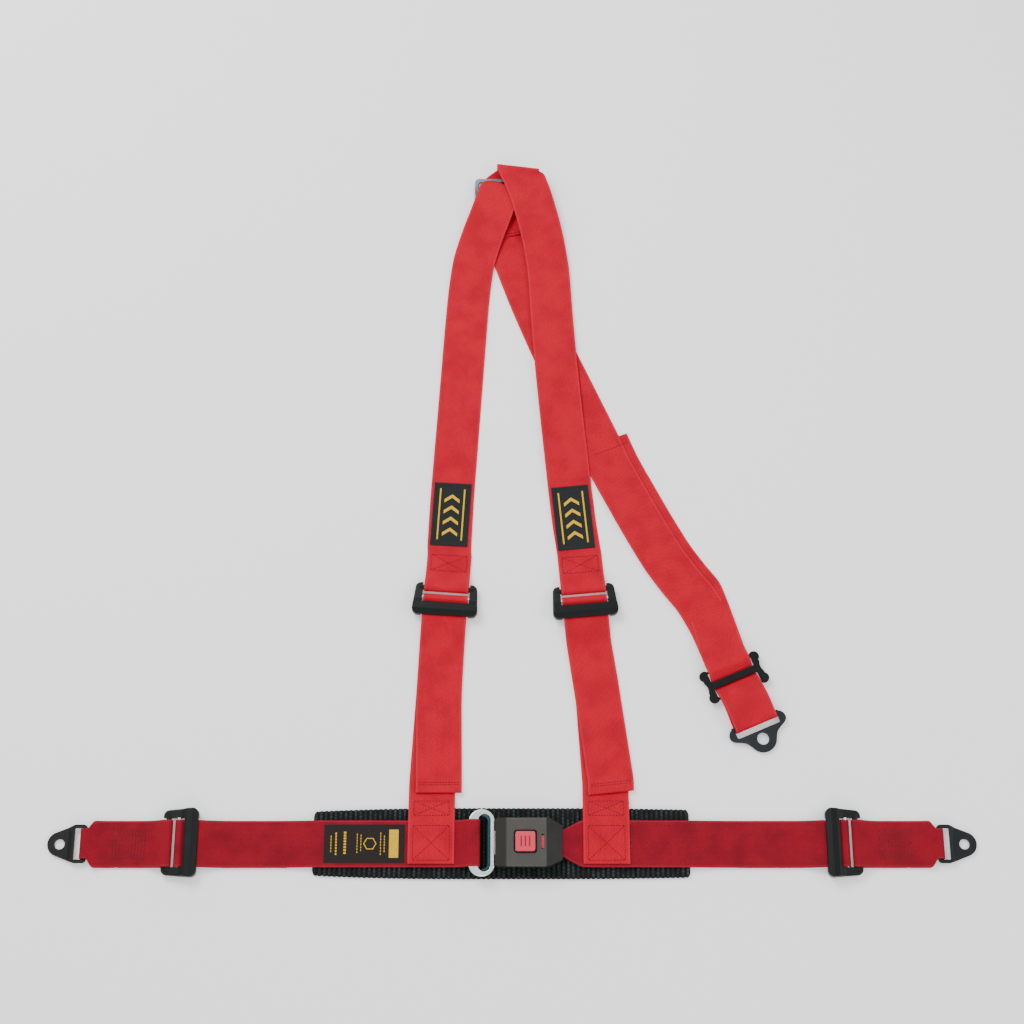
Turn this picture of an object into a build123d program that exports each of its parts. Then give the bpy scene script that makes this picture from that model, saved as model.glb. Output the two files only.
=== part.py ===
from build123d import *
import math
import os

os.makedirs("parts", exist_ok=True)

# ---------------------------------------------------------------- driving dimensions, mm
# The harness lies flat on the floor plane: X across the lap belt, Y up the back, Z up.
WEB_W = 50.0  # two-inch webbing
WEB_T = 1.3
WEB_GAP = 0.3  # between webbing and the bar it wraps
SEWN_GAP = 0.1  # between two layers that are stitched together
FLOOR_Z = WEB_T / 2  # middle of a strap that lies on the floor
SECOND_Z = FLOOR_Z + WEB_T + WEB_GAP  # middle of a loose strap on top of it
SEWN_Z = FLOOR_Z + WEB_T + SEWN_GAP  # middle of a strap that is stitched on top of it

LAP_Y = -396.0  # centre line of the lap belt
LAP_ADJUSTER_X = 354.5
PLATE_BAR_X = 457.3  # the bar of a lap anchor plate that the webbing wraps
PLATE_BAR_Z = 4.6

PAD_L, PAD_W, PAD_T = 403.0, 77.0, 4.0
PAD_X = -11.5
PAD_Y = -395.0
LAP_Z = PAD_T + WEB_GAP + WEB_T / 2  # middle of the lap belt on the pad
LAP_TOP_Z = LAP_Z + WEB_T + SEWN_GAP  # second layer of its sewn loops
CROWN_Z = LAP_TOP_Z + WEB_T + SEWN_GAP  # shoulder strap end, sewn on top of both

RING_X, RING_Y, RING_Z = -14.6, 396.4, 4.25
RING_L, RING_H, RING_BAR, RING_T = 62.0, 36.0, 5.5, 3.4

# adjuster, in its own frame: u runs towards the loaded strap, v across, z up
ADJ_HALF = 37.2  # half of its width
ADJ_IN = 26.4  # half of its opening
ADJ_U = 19.0  # half of its length
ADJ_Z0, ADJ_Z1 = 3.4, 10.6
LOOP_BAR_U, LOOP_BAR_Z, LOOP_BAR_R = -13.0, 7.0, 3.0
LOCK_BAR_U, LOCK_BAR_Z, LOCK_BAR_R = -2.0, 7.0, 2.5
LOCK_TRAVEL = 1.5
FRONT_U0, FRONT_U1, FRONT_Z = 4.5, 18.5, 9.0

BUCKLE_Y = LAP_Y
TONGUE_Z0 = 10.4
BLADE_T, RING_PLATE_T = 2.5, 3.0


# ---------------------------------------------------------------- helpers
def save(piece, name):
    """Label one finished sub-part and write its STEP file."""
    piece.part.label = name
    export_step(piece.part, f"parts/{name}.step")


def bend(u, z, radius, start, end, steps=6):
    """Points of a side profile round a bar at (u, z), from angle start to end in degrees."""
    angles = [start + (end - start) * i / steps for i in range(steps + 1)]
    return [
        (u + radius * math.cos(math.radians(a)), z + radius * math.sin(math.radians(a)))
        for a in angles
    ]


def upright(origin, heading, profile, width=WEB_W):
    """Stations of a strap whose side profile (u, z) runs straight along one heading."""
    c = math.cos(math.radians(heading))
    s = math.sin(math.radians(heading))
    return [
        (origin[0] + u * c, origin[1] + u * s, z, width, heading + 90)
        for u, z in profile
    ]


def lay(points, width=WEB_W):
    """Stations of a strap that follows a plan route of (x, y, z) points, square to its route."""
    stations = []
    for i, (x, y, z) in enumerate(points):
        before = points[max(i - 1, 0)]
        after = points[min(i + 1, len(points) - 1)]
        heading = math.degrees(math.atan2(after[1] - before[1], after[0] - before[0]))
        stations.append((x, y, z, width, heading + 90))
    return stations


def flip(stations):
    """The same stations with the width direction turned round, so that it never jumps."""
    return [(a, b, z, w, c + 180) for a, b, z, w, c in stations]


def webbing(stations):
    """A strap as a ruled loft of flat sections. A station is (x, y, z, width, cross angle)."""
    spots = [Vector(*s[:3]) for s in stations]
    steps = [(b - a).normalized() for a, b in zip(spots, spots[1:])]
    with BuildPart() as strap:
        for i, (spot, station) in enumerate(zip(spots, stations)):
            width, angle = station[3:]
            cross = Vector(1, 0, 0).rotate(Axis.Z, angle)
            along = steps[max(i - 1, 0)] + steps[min(i, len(steps) - 1)]
            along = along - cross * along.dot(cross)
            with BuildSketch(Plane(origin=spot, x_dir=cross, z_dir=along)):
                Rectangle(width, WEB_T)
        loft(ruled=True)
    return strap


# ---------------------------------------------------------------- side profiles at the hardware
BAR_WRAP = LOOP_BAR_R + WEB_GAP + WEB_T / 2 + 0.05
LOCK_WRAP = LOCK_BAR_R + WEB_GAP + WEB_T / 2 + 0.05
PLATE_WRAP = PLATE_BAR_Z - FLOOR_Z
UNDER_FRONT_HIGH = FRONT_Z - WEB_GAP - WEB_T / 2
UNDER_FRONT_LOW = UNDER_FRONT_HIGH - WEB_T - WEB_GAP

# webbing threaded through an adjuster: in below the front bar, round the lock bar, out again
threaded_low = [
    (44, FLOOR_Z),
    (26, 4.6),
    (FRONT_U1 + 0.5, UNDER_FRONT_LOW),
    (FRONT_U0 + 0.5, UNDER_FRONT_LOW),
    (LOCK_BAR_U + 2.5, LOCK_BAR_Z - LOCK_WRAP),
]
threaded_high = [
    (LOCK_BAR_U + 2.5, LOCK_BAR_Z + LOCK_WRAP),
    (FRONT_U0 - 0.3, UNDER_FRONT_HIGH),
    (FRONT_U1 + 0.5, UNDER_FRONT_HIGH),
    (28, 6.0),
    (46, SECOND_Z),
]
threaded = (
    threaded_low + bend(LOCK_BAR_U, LOCK_BAR_Z, LOCK_WRAP, 270, 90) + threaded_high
)

# webbing sewn in a loop round the adjuster's outer bar
loop_low = [(-34, FLOOR_Z), (-20, 1.6)]
loop_high = [(-19.5, 8.9), (-34, SEWN_Z)]
bar_loop = loop_low + bend(LOOP_BAR_U, LOOP_BAR_Z, BAR_WRAP, -90, 115, 7) + loop_high


# ---------------------------------------------------------------- lap anchor plates
PLATE_T = 3.0
PLATE_HOLE_P = 26.7  # bar to bolt hole
PLATE_HOLE_R = 5.6
PLATE_TIP_R = 13.0
PLATE_HALF = 20.5
PLATE_SLOT = (2.6, 10.5)  # slot's near and far edge, from the bar's middle
PLATE_SLOT_HALF = 16.8


def lap_anchor_plate():
    """A joggled steel plate: p runs from the webbing bar to the bolt hole, here along +X."""
    with BuildPart() as plate:
        with BuildSketch(Plane.XZ):
            with BuildLine():
                FilletPolyline(
                    (PLATE_T / 2 - 3.0, PLATE_BAR_Z),
                    (12.5, PLATE_BAR_Z),
                    (17.0, PLATE_T / 2),
                    (42.0, PLATE_T / 2),
                    radius=3.0,
                )
            trace(line_width=PLATE_T)
            with Locations((PLATE_T / 2 - 3.0, PLATE_BAR_Z)):
                Circle(PLATE_T / 2)
        extrude(amount=PLATE_HALF + 5, both=True)
        with BuildSketch(Plane.XY):
            with Locations((PLATE_HOLE_P, 0)):
                Circle(PLATE_TIP_R)
            with Locations((1.5, PLATE_HALF - 4.5), (1.5, 4.5 - PLATE_HALF)):
                Circle(4.5)
            with Locations((9.0, 0)):
                Rectangle(2.0, 2 * PLATE_HALF)
            make_hull()
        extrude(amount=20, mode=Mode.INTERSECT)
        with BuildSketch(Plane.XY):
            with Locations(((PLATE_SLOT[0] + PLATE_SLOT[1]) / 2, 0)):
                RectangleRounded(PLATE_SLOT[1] - PLATE_SLOT[0], 2 * PLATE_SLOT_HALF, 0.8)
        extrude(amount=20, mode=Mode.SUBTRACT)
        with Locations((PLATE_HOLE_P, 0, PLATE_T)):
            Hole(PLATE_HOLE_R)
    return plate


for side, turn in (("left", 180), ("right", 0)):
    plate = lap_anchor_plate()
    edge = -1 if side == "left" else 1
    with BuildPart() as placed:
        with Locations(Location((edge * PLATE_BAR_X, LAP_Y, 0), (0, 0, turn))):
            add(plate.part)
    save(placed, f"{side}_anchor_plate")


# ---------------------------------------------------------------- rear anchor plate
SLIDE_AT = (245.0, -213.0)
SLIDE_HEADING = -67.0  # from the ring side towards the bolt
REAR_BAR_U = 54.0  # plate's webbing bar, along the strap from the middle of the slide
REAR_HOLE_P, REAR_HOLE_R, REAR_TIP_R = 20.3, 6.6, 15.0
REAR_SLOT_HALF = 25.6
REAR_TIP_DOWN = 5.0  # degrees; the plate's tip rests on the floor

rear_way = Vector(1, 0, 0).rotate(Axis.Z, SLIDE_HEADING)
rear_bar_at = Vector(*SLIDE_AT, PLATE_BAR_Z) + rear_way * REAR_BAR_U

with BuildPart() as flat_plate:
    with BuildSketch(Plane.XY.offset(-PLATE_T / 2)):
        with BuildLine():
            Line((-1.5, 28.0), (-1.5, -28.0))
            shoulder = Spline((-1.5, 28.0), (9.0, 33.0), tangents=((0.3, 1), (1, -0.5)))
            flank = Spline(
                (9.0, 33.0), (18.0, 19.5), (27.0, 13.4), tangents=((1, -0.5), (1, -0.5))
            )
            ThreePointArc((27.0, 13.4), (REAR_HOLE_P + REAR_TIP_R, 0), (27.0, -13.4))
            mirror(shoulder, about=Plane.XZ)
            mirror(flank, about=Plane.XZ)
        make_face()
        with Locations(((PLATE_SLOT[0] + PLATE_SLOT[1]) / 2, 0)):
            RectangleRounded(
                PLATE_SLOT[1] - PLATE_SLOT[0], 2 * REAR_SLOT_HALF, 2.0, mode=Mode.SUBTRACT
            )
        with Locations((REAR_HOLE_P, 0)):
            Circle(REAR_HOLE_R, mode=Mode.SUBTRACT)
    extrude(amount=PLATE_T)
    with Locations(Location((-1.5, 0, 0), (90, 0, 0))):
        Cylinder(PLATE_T / 2, 56.0)
with BuildPart() as rear_anchor_plate:
    turned = Rotation(0, 0, SLIDE_HEADING) * Rotation(0, REAR_TIP_DOWN, 0)
    with Locations(Location(rear_bar_at) * turned):
        add(flat_plate.part)
save(rear_anchor_plate, "rear_anchor_plate")


# ---------------------------------------------------------------- adjusters with lock bars
def adjuster_frame():
    """The moulded frame of a tilt-lock adjuster: two arms, an outer bar and a front bar."""
    crest = FRONT_Z + 4.7
    with BuildPart() as frame:
        with BuildSketch(Plane.XZ):
            with BuildLine():
                FilletPolyline(
                    (-ADJ_U - 8, ADJ_Z0),
                    (-ADJ_U - 8, LOOP_BAR_Z),
                    (FRONT_U0 - 3.5, ADJ_Z1),
                    (FRONT_U0 + 2.0, crest),
                    (FRONT_U0 + 8.5, crest),
                    (FRONT_U1 + 8, LOOP_BAR_Z),
                    (FRONT_U1 + 8, ADJ_Z0),
                    radius=(0, 3.0, 3.0, 2.0, 2.0, 0, 0),
                    close=True,
                )
            make_face()
        extrude(amount=ADJ_HALF + 1, both=True)
        with BuildSketch(Plane.XY.offset(ADJ_Z0)):
            with BuildLine():
                FilletPolyline(
                    (-ADJ_U, -ADJ_HALF + 3.0),
                    (ADJ_U, -ADJ_HALF),
                    (ADJ_U, ADJ_HALF),
                    (-ADJ_U, ADJ_HALF - 3.0),
                    radius=6.5,
                    close=True,
                )
            make_face()
        extrude(amount=20, mode=Mode.INTERSECT)
        floor_edges = frame.edges().group_by(Axis.Z)[0]
        walls = frame.edges().filter_by(Axis.Z)
        across = frame.edges().filter_by(Axis.Y).filter_by(lambda e: e.length > ADJ_HALF)
        rim = frame.edges() - floor_edges - walls - across
        fillet(rim, 1.6)
        fillet(frame.edges().group_by(Axis.Z)[0], 1.0)
        # the window for the webbing, open at the outer bar's side
        with BuildSketch(Plane.XY):
            with Locations(((FRONT_U0 - ADJ_U) / 2 - 1, 0)):
                Rectangle(FRONT_U0 + ADJ_U + 2, 2 * ADJ_IN)
        extrude(amount=20, mode=Mode.SUBTRACT)
        # the passage below the front bar
        with BuildSketch(Plane.XY):
            with Locations(((FRONT_U0 + ADJ_U) / 2 + 1, 0)):
                Rectangle(ADJ_U - FRONT_U0 + 3, 2 * ADJ_IN)
        extrude(amount=FRONT_Z, mode=Mode.SUBTRACT)
        with BuildSketch(Plane.XZ):
            with Locations((LOOP_BAR_U, LOOP_BAR_Z)):
                Circle(LOOP_BAR_R)
        extrude(amount=ADJ_IN + 4, both=True)
        with BuildSketch(Plane.XZ):
            reach = 2 * LOCK_BAR_R + LOCK_TRAVEL + 0.4
            with Locations((LOCK_BAR_U + LOCK_TRAVEL / 2, LOCK_BAR_Z)):
                SlotOverall(reach, 2 * LOCK_BAR_R + 0.4)
        extrude(amount=ADJ_IN + 4.5, both=True, mode=Mode.SUBTRACT)
    return frame


def lock_bar():
    """The round steel bar that nips the webbing against the front bar."""
    with BuildPart() as bar:
        with BuildSketch(Plane.XZ):
            with Locations((LOCK_BAR_U, LOCK_BAR_Z)):
                Circle(LOCK_BAR_R)
        extrude(amount=ADJ_IN + 4.2, both=True)
        chamfer(bar.edges(), 0.5)
    return bar


ADJUSTERS = {
    # name: plan position and heading of the loaded strap
    "left_lap": (-LAP_ADJUSTER_X, LAP_Y + 1.0, 0),
    "right_lap": (LAP_ADJUSTER_X, LAP_Y + 1.0, 180),
    "left_shoulder": (-74.4, -124.0, -94),
    "right_shoulder": (81.2, -125.5, -85),
}
for name, (x, y, heading) in ADJUSTERS.items():
    for kind, made in (("adjuster_frame", adjuster_frame()), ("lock_bar", lock_bar())):
        with BuildPart() as placed:
            with Locations(Location((x, y, 0), (0, 0, heading))):
                add(made.part)
        save(placed, f"{name}_{kind}")


# ---------------------------------------------------------------- rear three-bar slide
SLIDE_L, SLIDE_W = 38.0, 72.0
SLIDE_Z0, SLIDE_T = 4.2, 3.0
SLIDE_SLOT_U, SLIDE_SLOT_W = 9.25, 10.5

with BuildPart() as rear_adjuster:
    with BuildSketch(Plane.XY.offset(SLIDE_Z0)):
        RectangleRounded(SLIDE_L - 4, SLIDE_W - 5, 4.0)
        corners = [
            (u * (SLIDE_L / 2 - 6.0), v * (SLIDE_W / 2 - 6.0)) for u in (-1, 1) for v in (-1, 1)
        ]
        with Locations(*corners):
            Circle(6.0)
        with Locations((0, SLIDE_W / 2 + 7.5), (0, -SLIDE_W / 2 - 7.5)):
            Circle(11.5, mode=Mode.SUBTRACT)
        with Locations((SLIDE_SLOT_U, 0), (-SLIDE_SLOT_U, 0)):
            RectangleRounded(SLIDE_SLOT_W, 52.0, 2.0, mode=Mode.SUBTRACT)
    extrude(amount=SLIDE_T)
    fillet(rear_adjuster.edges().filter_by(Plane.XY), 0.9)
with BuildPart() as placed:
    with Locations(Location((*SLIDE_AT, 0), (0, 0, SLIDE_HEADING))):
        add(rear_adjuster.part)
save(placed, "rear_adjuster")


# ---------------------------------------------------------------- top ring
with BuildPart() as top_ring:
    with BuildSketch(Plane.XY.offset(RING_Z - RING_T / 2)):
        with Locations((RING_X, RING_Y)):
            RectangleRounded(RING_L, RING_H, 6.0)
            RectangleRounded(
                RING_L - 2 * RING_BAR, RING_H - 2 * RING_BAR, 2.5, mode=Mode.SUBTRACT
            )
    extrude(amount=RING_T)
    fillet(top_ring.edges().filter_by(Plane.XY), 1.2)
save(top_ring, "top_ring")


# ---------------------------------------------------------------- tongue
TONGUE_X0, TONGUE_X1 = -46.4, -18.4  # the loop that holds the webbing
TONGUE_H = 71.0
TONGUE_SLOT = (-35.9, -23.4)
TONGUE_SLOT_H = 60.0
BLADE_END, BLADE_HALF = 8.3, 12.5
LATCH_HOLE = (-7.4, -0.6)
LATCH_HOLE_HALF = 7.4
slot_mid = (TONGUE_SLOT[0] + TONGUE_SLOT[1]) / 2
slot_len = TONGUE_SLOT[1] - TONGUE_SLOT[0]

with BuildPart() as tongue_plate:
    with BuildSketch(Plane.XY.offset(TONGUE_Z0)):
        with Locations(((TONGUE_X0 + TONGUE_X1) / 2, BUCKLE_Y)):
            RectangleRounded(TONGUE_X1 - TONGUE_X0, TONGUE_H, 13.5)
        with Locations((slot_mid, BUCKLE_Y)):
            RectangleRounded(slot_len, TONGUE_SLOT_H, 6.0, mode=Mode.SUBTRACT)
    extrude(amount=RING_PLATE_T)
    fillet(tongue_plate.edges().filter_by(Plane.XY), 1.2)
    with BuildSketch(Plane.XY.offset(TONGUE_Z0)):
        with BuildLine():
            FilletPolyline(
                (TONGUE_X1 - 3.0, BUCKLE_Y - BLADE_HALF),
                (BLADE_END, BUCKLE_Y - BLADE_HALF),
                (BLADE_END, BUCKLE_Y + BLADE_HALF),
                (TONGUE_X1 - 3.0, BUCKLE_Y + BLADE_HALF),
                radius=(0, 3.0, 3.0, 0),
                close=True,
            )
        make_face()
        with Locations((sum(LATCH_HOLE) / 2, BUCKLE_Y)):
            RectangleRounded(
                LATCH_HOLE[1] - LATCH_HOLE[0], 2 * LATCH_HOLE_HALF, 1.0, mode=Mode.SUBTRACT
            )
    extrude(amount=BLADE_T)
save(tongue_plate, "tongue_plate")

# a plastic liner clipped in the slot, against its buckle side
with BuildPart() as tongue_liner:
    with BuildSketch(Plane.XY.offset(TONGUE_Z0 - 0.8)):
        with Locations((slot_mid, BUCKLE_Y)):
            RectangleRounded(slot_len - 0.2, TONGUE_SLOT_H - 0.2, 5.9)
        with Locations((slot_mid - 3.0, BUCKLE_Y)):
            RectangleRounded(slot_len + 1.0, TONGUE_SLOT_H - 4.0, 5.0, mode=Mode.SUBTRACT)
        with Locations((TONGUE_SLOT[0], BUCKLE_Y)):
            Rectangle(8.0, TONGUE_H, mode=Mode.SUBTRACT)
    extrude(amount=RING_PLATE_T + 1.6)
save(tongue_liner, "tongue_liner")


# ---------------------------------------------------------------- buckle
BODY_X0, BODY_X1, BODY_HALF = -18.0, 54.0, 25.4
BODY_Z0, SEAM_Z, BODY_Z1 = 4.3, 11.0, 20.6
WALL = 1.8
FLOOR_WALL = 1.2
BUTTON = (3.6, 24.8)
BUTTON_HALF = 10.6
BUTTON_Z = 23.0
BUTTON_TRAVEL = 2.5
WINDOW_GAP = 1.9
SIGHT_SLOT = (31.0, 34.2)
PIVOT_X, PIVOT_Z, PIN_R = 8.0, 15.2, 1.25
FRAME_X0, FRAME_Z0, FRAME_Z1, FRAME_TOP = -12.0, 7.6, 10.0, 17.0
FRAME_HALF_IN, FRAME_HALF = 15.0, 17.0
STRAP_BAR = (41.0, 45.0)
BUCKLE_WEB_W = 26.0


def buckle_outline(inset):
    """The buckle's plan: square at the mouth, tapered towards the strap."""
    with BuildSketch() as outline:
        with BuildLine():
            FilletPolyline(
                (BODY_X0 + inset, BUCKLE_Y - BODY_HALF + inset),
                (40.0, BUCKLE_Y - BODY_HALF + inset),
                (BODY_X1 - inset, BUCKLE_Y - 18.0 + inset),
                (BODY_X1 - inset, BUCKLE_Y + 18.0 - inset),
                (40.0, BUCKLE_Y + BODY_HALF - inset),
                (BODY_X0 + inset, BUCKLE_Y + BODY_HALF - inset),
                radius=3.0,
                close=True,
            )
        make_face()
    return outline.sketch


def buckle_side(inset):
    """The buckle's side view: a low mouth, a flat top and a nose that slopes to the strap."""
    floor = min(inset, FLOOR_WALL)
    with BuildSketch() as side_view:
        with BuildLine():
            Polyline(
                (BODY_X0 - 1, BODY_Z0 + floor),
                (BODY_X0 - 1, 18.9 - inset),
                (-6.0, BODY_Z1 - inset),
                (35.5, BODY_Z1 - inset),
                (47.0, 15.4 - inset),
                (BODY_X1 + 1, 11.6 - inset),
                (BODY_X1 + 1, BODY_Z0 + floor),
                close=True,
            )
        make_face()
    return side_view.sketch


with BuildPart() as shell:
    with BuildSketch(Plane.XY.offset(BODY_Z0)):
        add(buckle_outline(0))
    extrude(amount=BODY_Z1 - BODY_Z0)
    with BuildSketch(Plane.XZ.offset(-BUCKLE_Y)):
        add(buckle_side(0))
    extrude(amount=BODY_HALF + 1, both=True, mode=Mode.INTERSECT)
    fillet(shell.edges().group_by(Axis.Z)[-1], 2.0)
    fillet(shell.edges().group_by(Axis.Z)[0], 1.0)

with BuildPart() as cavity:
    with BuildSketch(Plane.XY.offset(BODY_Z0 + 1.0)):
        add(buckle_outline(WALL))
    extrude(amount=BODY_Z1 - BODY_Z0)
    with BuildSketch(Plane.XZ.offset(-BUCKLE_Y)):
        add(buckle_side(WALL))
    extrude(amount=BODY_HALF + 1, both=True, mode=Mode.INTERSECT)

with BuildPart() as openings:
    # the mouth for the tongue's blade
    with Locations((BODY_X0, BUCKLE_Y, TONGUE_Z0 + BLADE_T / 2)):
        Box(8.0, 2 * BLADE_HALF + 4.0, BLADE_T + 1.4)
    # the throat for the webbing
    with Locations((48.5, BUCKLE_Y, 8.75)):
        Box(14.0, BUCKLE_WEB_W + 3.0, 7.1)

with BuildPart() as buckle_bottom_cover:
    add(shell.part)
    add(cavity.part, mode=Mode.SUBTRACT)
    add(openings.part, mode=Mode.SUBTRACT)
    split(bisect_by=Plane.XY.offset(SEAM_Z), keep=Keep.BOTTOM)
    # two ledges carry the steel frame
    with Locations((8.0, BUCKLE_Y - 16.0, 6.45), (8.0, BUCKLE_Y + 16.0, 6.45)):
        Box(36.0, 3.0, 2.2)
save(buckle_bottom_cover, "buckle_bottom_cover")

with BuildPart() as buckle_top_cover:
    add(shell.part)
    add(cavity.part, mode=Mode.SUBTRACT)
    add(openings.part, mode=Mode.SUBTRACT)
    split(bisect_by=Plane.XY.offset(SEAM_Z + 0.15), keep=Keep.TOP)
    with BuildSketch(Plane.XY.offset(BODY_Z1 - WALL - 1)):
        with Locations((sum(BUTTON) / 2, BUCKLE_Y)):
            RectangleRounded(
                BUTTON[1] - BUTTON[0] + 2 * WINDOW_GAP, 2 * (BUTTON_HALF + WINDOW_GAP), 3.4
            )
        with Locations((sum(SIGHT_SLOT) / 2, BUCKLE_Y)):
            RectangleRounded(SIGHT_SLOT[1] - SIGHT_SLOT[0], 16.0, 1.2)
    extrude(amount=WALL + 3, mode=Mode.SUBTRACT)
save(buckle_top_cover, "buckle_top_cover")

with BuildPart() as buckle_frame:
    with BuildSketch(Plane.XY.offset(FRAME_Z0)):
        with Locations(((FRAME_X0 + STRAP_BAR[1]) / 2, BUCKLE_Y)):
            Rectangle(STRAP_BAR[1] - FRAME_X0, 2 * FRAME_HALF)
        with Locations(((35.0 + STRAP_BAR[0]) / 2, BUCKLE_Y)):
            RectangleRounded(STRAP_BAR[0] - 35.0, BUCKLE_WEB_W + 2.6, 1.2, mode=Mode.SUBTRACT)
    extrude(amount=FRAME_Z1 - FRAME_Z0)
    for wall_side in (-1, 1):
        wall_y = BUCKLE_Y + wall_side * (FRAME_HALF_IN + FRAME_HALF) / 2
        with Locations((11.0, wall_y, (FRAME_Z0 + FRAME_TOP) / 2)):
            Box(46.0, FRAME_HALF - FRAME_HALF_IN, FRAME_TOP - FRAME_Z0)
    # the upstand that the ejector springs push against
    with Locations((34.0, BUCKLE_Y, 11.6)):
        Box(1.4, 2 * FRAME_HALF_IN, 3.4)
    with Locations(Location((PIVOT_X, BUCKLE_Y, PIVOT_Z), (90, 0, 0))):
        Cylinder(PIN_R + 0.02, 40.0, mode=Mode.SUBTRACT)
save(buckle_frame, "buckle_frame")

with BuildPart() as latch_pin:
    with Locations(Location((PIVOT_X, BUCKLE_Y, PIVOT_Z), (90, 0, 0))):
        Cylinder(PIN_R, 2 * FRAME_HALF + 1.6)
    chamfer(latch_pin.edges(), 0.3)
save(latch_pin, "latch_pin")

# the latch: a rocker with a tooth over the blade and a tail below the button
with BuildPart() as latch:
    with BuildSketch(Plane.XZ.offset(-BUCKLE_Y)):
        with BuildLine():
            Polyline(
                (-2.0, 16.2),
                (-6.4, 14.9),
                (-6.4, 11.0),
                (-3.6, 11.0),
                (-1.8, 14.2),
                (21.8, 14.2),
                (21.8, 16.2),
                close=True,
            )
        make_face()
        with Locations((PIVOT_X, PIVOT_Z)):
            Circle(2.1)
    extrude(amount=6.5, both=True)
    with Locations(Location((PIVOT_X, BUCKLE_Y, PIVOT_Z), (90, 0, 0))):
        Cylinder(PIN_R + 0.05, 20.0, mode=Mode.SUBTRACT)
save(latch, "latch")

with BuildPart() as release_button:
    with BuildSketch(Plane.XY.offset(20.2)):
        with Locations((sum(BUTTON) / 2, BUCKLE_Y)):
            RectangleRounded(BUTTON[1] - BUTTON[0], 2 * BUTTON_HALF, 2.6)
    extrude(amount=BUTTON_Z - 20.2)
    fillet(release_button.edges().group_by(Axis.Z)[-1], 0.9)
    # three finger ribs on the cap
    for rib in (-1, 0, 1):
        with Locations((sum(BUTTON) / 2 + 4.4 * rib, BUCKLE_Y, BUTTON_Z)):
            Box(1.2, 11.0, 0.8)
    # the leg that pushes the latch's tail
    with Locations((20.2, BUCKLE_Y, 18.6)):
        Box(2.0, 11.0, 4.2)
    # the flag that shows in the sight slot
    with Locations((22.3, BUCKLE_Y, 18.75)):
        Box(2.0, 14.0, 3.1)
    with Locations((29.0, BUCKLE_Y, 17.9)):
        Box(13.0, 14.0, 1.4)
save(release_button, "release_button")

with BuildPart() as ejector:
    with Locations((10.3, BUCKLE_Y, 11.55)):
        Box(3.4, 24.0, 2.1)
    for arm_side in (-1, 1):
        with Locations((17.5, BUCKLE_Y + arm_side * 10.0, 11.55)):
            Box(13.0, 4.0, 2.1)
save(ejector, "ejector")


def spring(base, towards, length, radius, wire, turns):
    """A compression spring: round wire along a helix, standing on its base."""
    with BuildPart() as coil:
        with BuildLine() as path:
            Helix(length / turns, length, radius, center=base, direction=towards)
        with BuildSketch(Plane(origin=path.line @ 0, z_dir=path.line % 0)):
            Circle(wire)
        sweep()
    return coil


save(
    spring((19.0, BUCKLE_Y, FRAME_Z1 + 0.35), (0, 0, 1), 3.3, 2.2, 0.3, 3),
    "latch_spring",
)
with BuildPart() as ejector_springs:
    for arm_side in (-1, 1):
        base = (24.4, BUCKLE_Y + arm_side * 10.0, 12.3)
        add(spring(base, (1, 0, 0), 8.4, 1.6, 0.25, 6).part)
save(ejector_springs, "ejector_springs")


# ---------------------------------------------------------------- lap webbing
# One half of the anchor webbing, drawn for the left side and mirrored for the right.
plate_u = LAP_ADJUSTER_X - PLATE_BAR_X
anchor_profile = (
    [(-70, FLOOR_Z, WEB_W), (plate_u + 9, FLOOR_Z, WEB_W), (plate_u + 4, FLOOR_Z, 32.0)]
    + [(u, z, 32.0) for u, z in bend(plate_u, PLATE_BAR_Z, PLATE_WRAP, 270, 90)]
    + [(plate_u + 4, 7.4, 32.0), (plate_u + 9, 4.9, WEB_W), (plate_u + 18, SEWN_Z, WEB_W)]
    + [(u, z, WEB_W) for u, z in reversed(bar_loop)]
    + [(-66, FLOOR_Z, WEB_W)]
)
anchor_stations = [
    (u - LAP_ADJUSTER_X, LAP_Y, z, width, 90) for u, z, width in anchor_profile
]
left_anchor_strap = webbing(anchor_stations)
save(left_anchor_strap, "left_anchor_strap")

with BuildPart() as right_anchor_strap:
    add(left_anchor_strap.part.mirror(Plane.YZ))
save(right_anchor_strap, "right_anchor_strap")

# lap strap from the adjuster to the tongue; its free tail lies below it
low, high = TONGUE_Z0 - WEB_GAP - WEB_T / 2, TONGUE_Z0 + RING_PLATE_T + WEB_GAP + WEB_T / 2
wrap = (high - low) / 2
lap_left = (
    [(-240.0, FLOOR_Z)]
    + [(u - LAP_ADJUSTER_X, z) for u, z in threaded]
    + [(-250, SECOND_Z), (-232, SECOND_Z + 0.8), (-215, LAP_Z), (-114.5, LAP_Z)]
    + [(-109, LAP_TOP_Z), (-59, LAP_TOP_Z), (-52, 9.6), (-46, high)]
    + bend(TONGUE_SLOT[0] - 0.9, (low + high) / 2, wrap, 90, -90)
    + [(-46, low), (-52, 7.0), (-58, LAP_Z), (-105, LAP_Z)]
)
left_lap_strap = webbing([(x, LAP_Y, z, WEB_W, 90) for x, z in lap_left])
save(left_lap_strap, "left_lap_strap")

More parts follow.
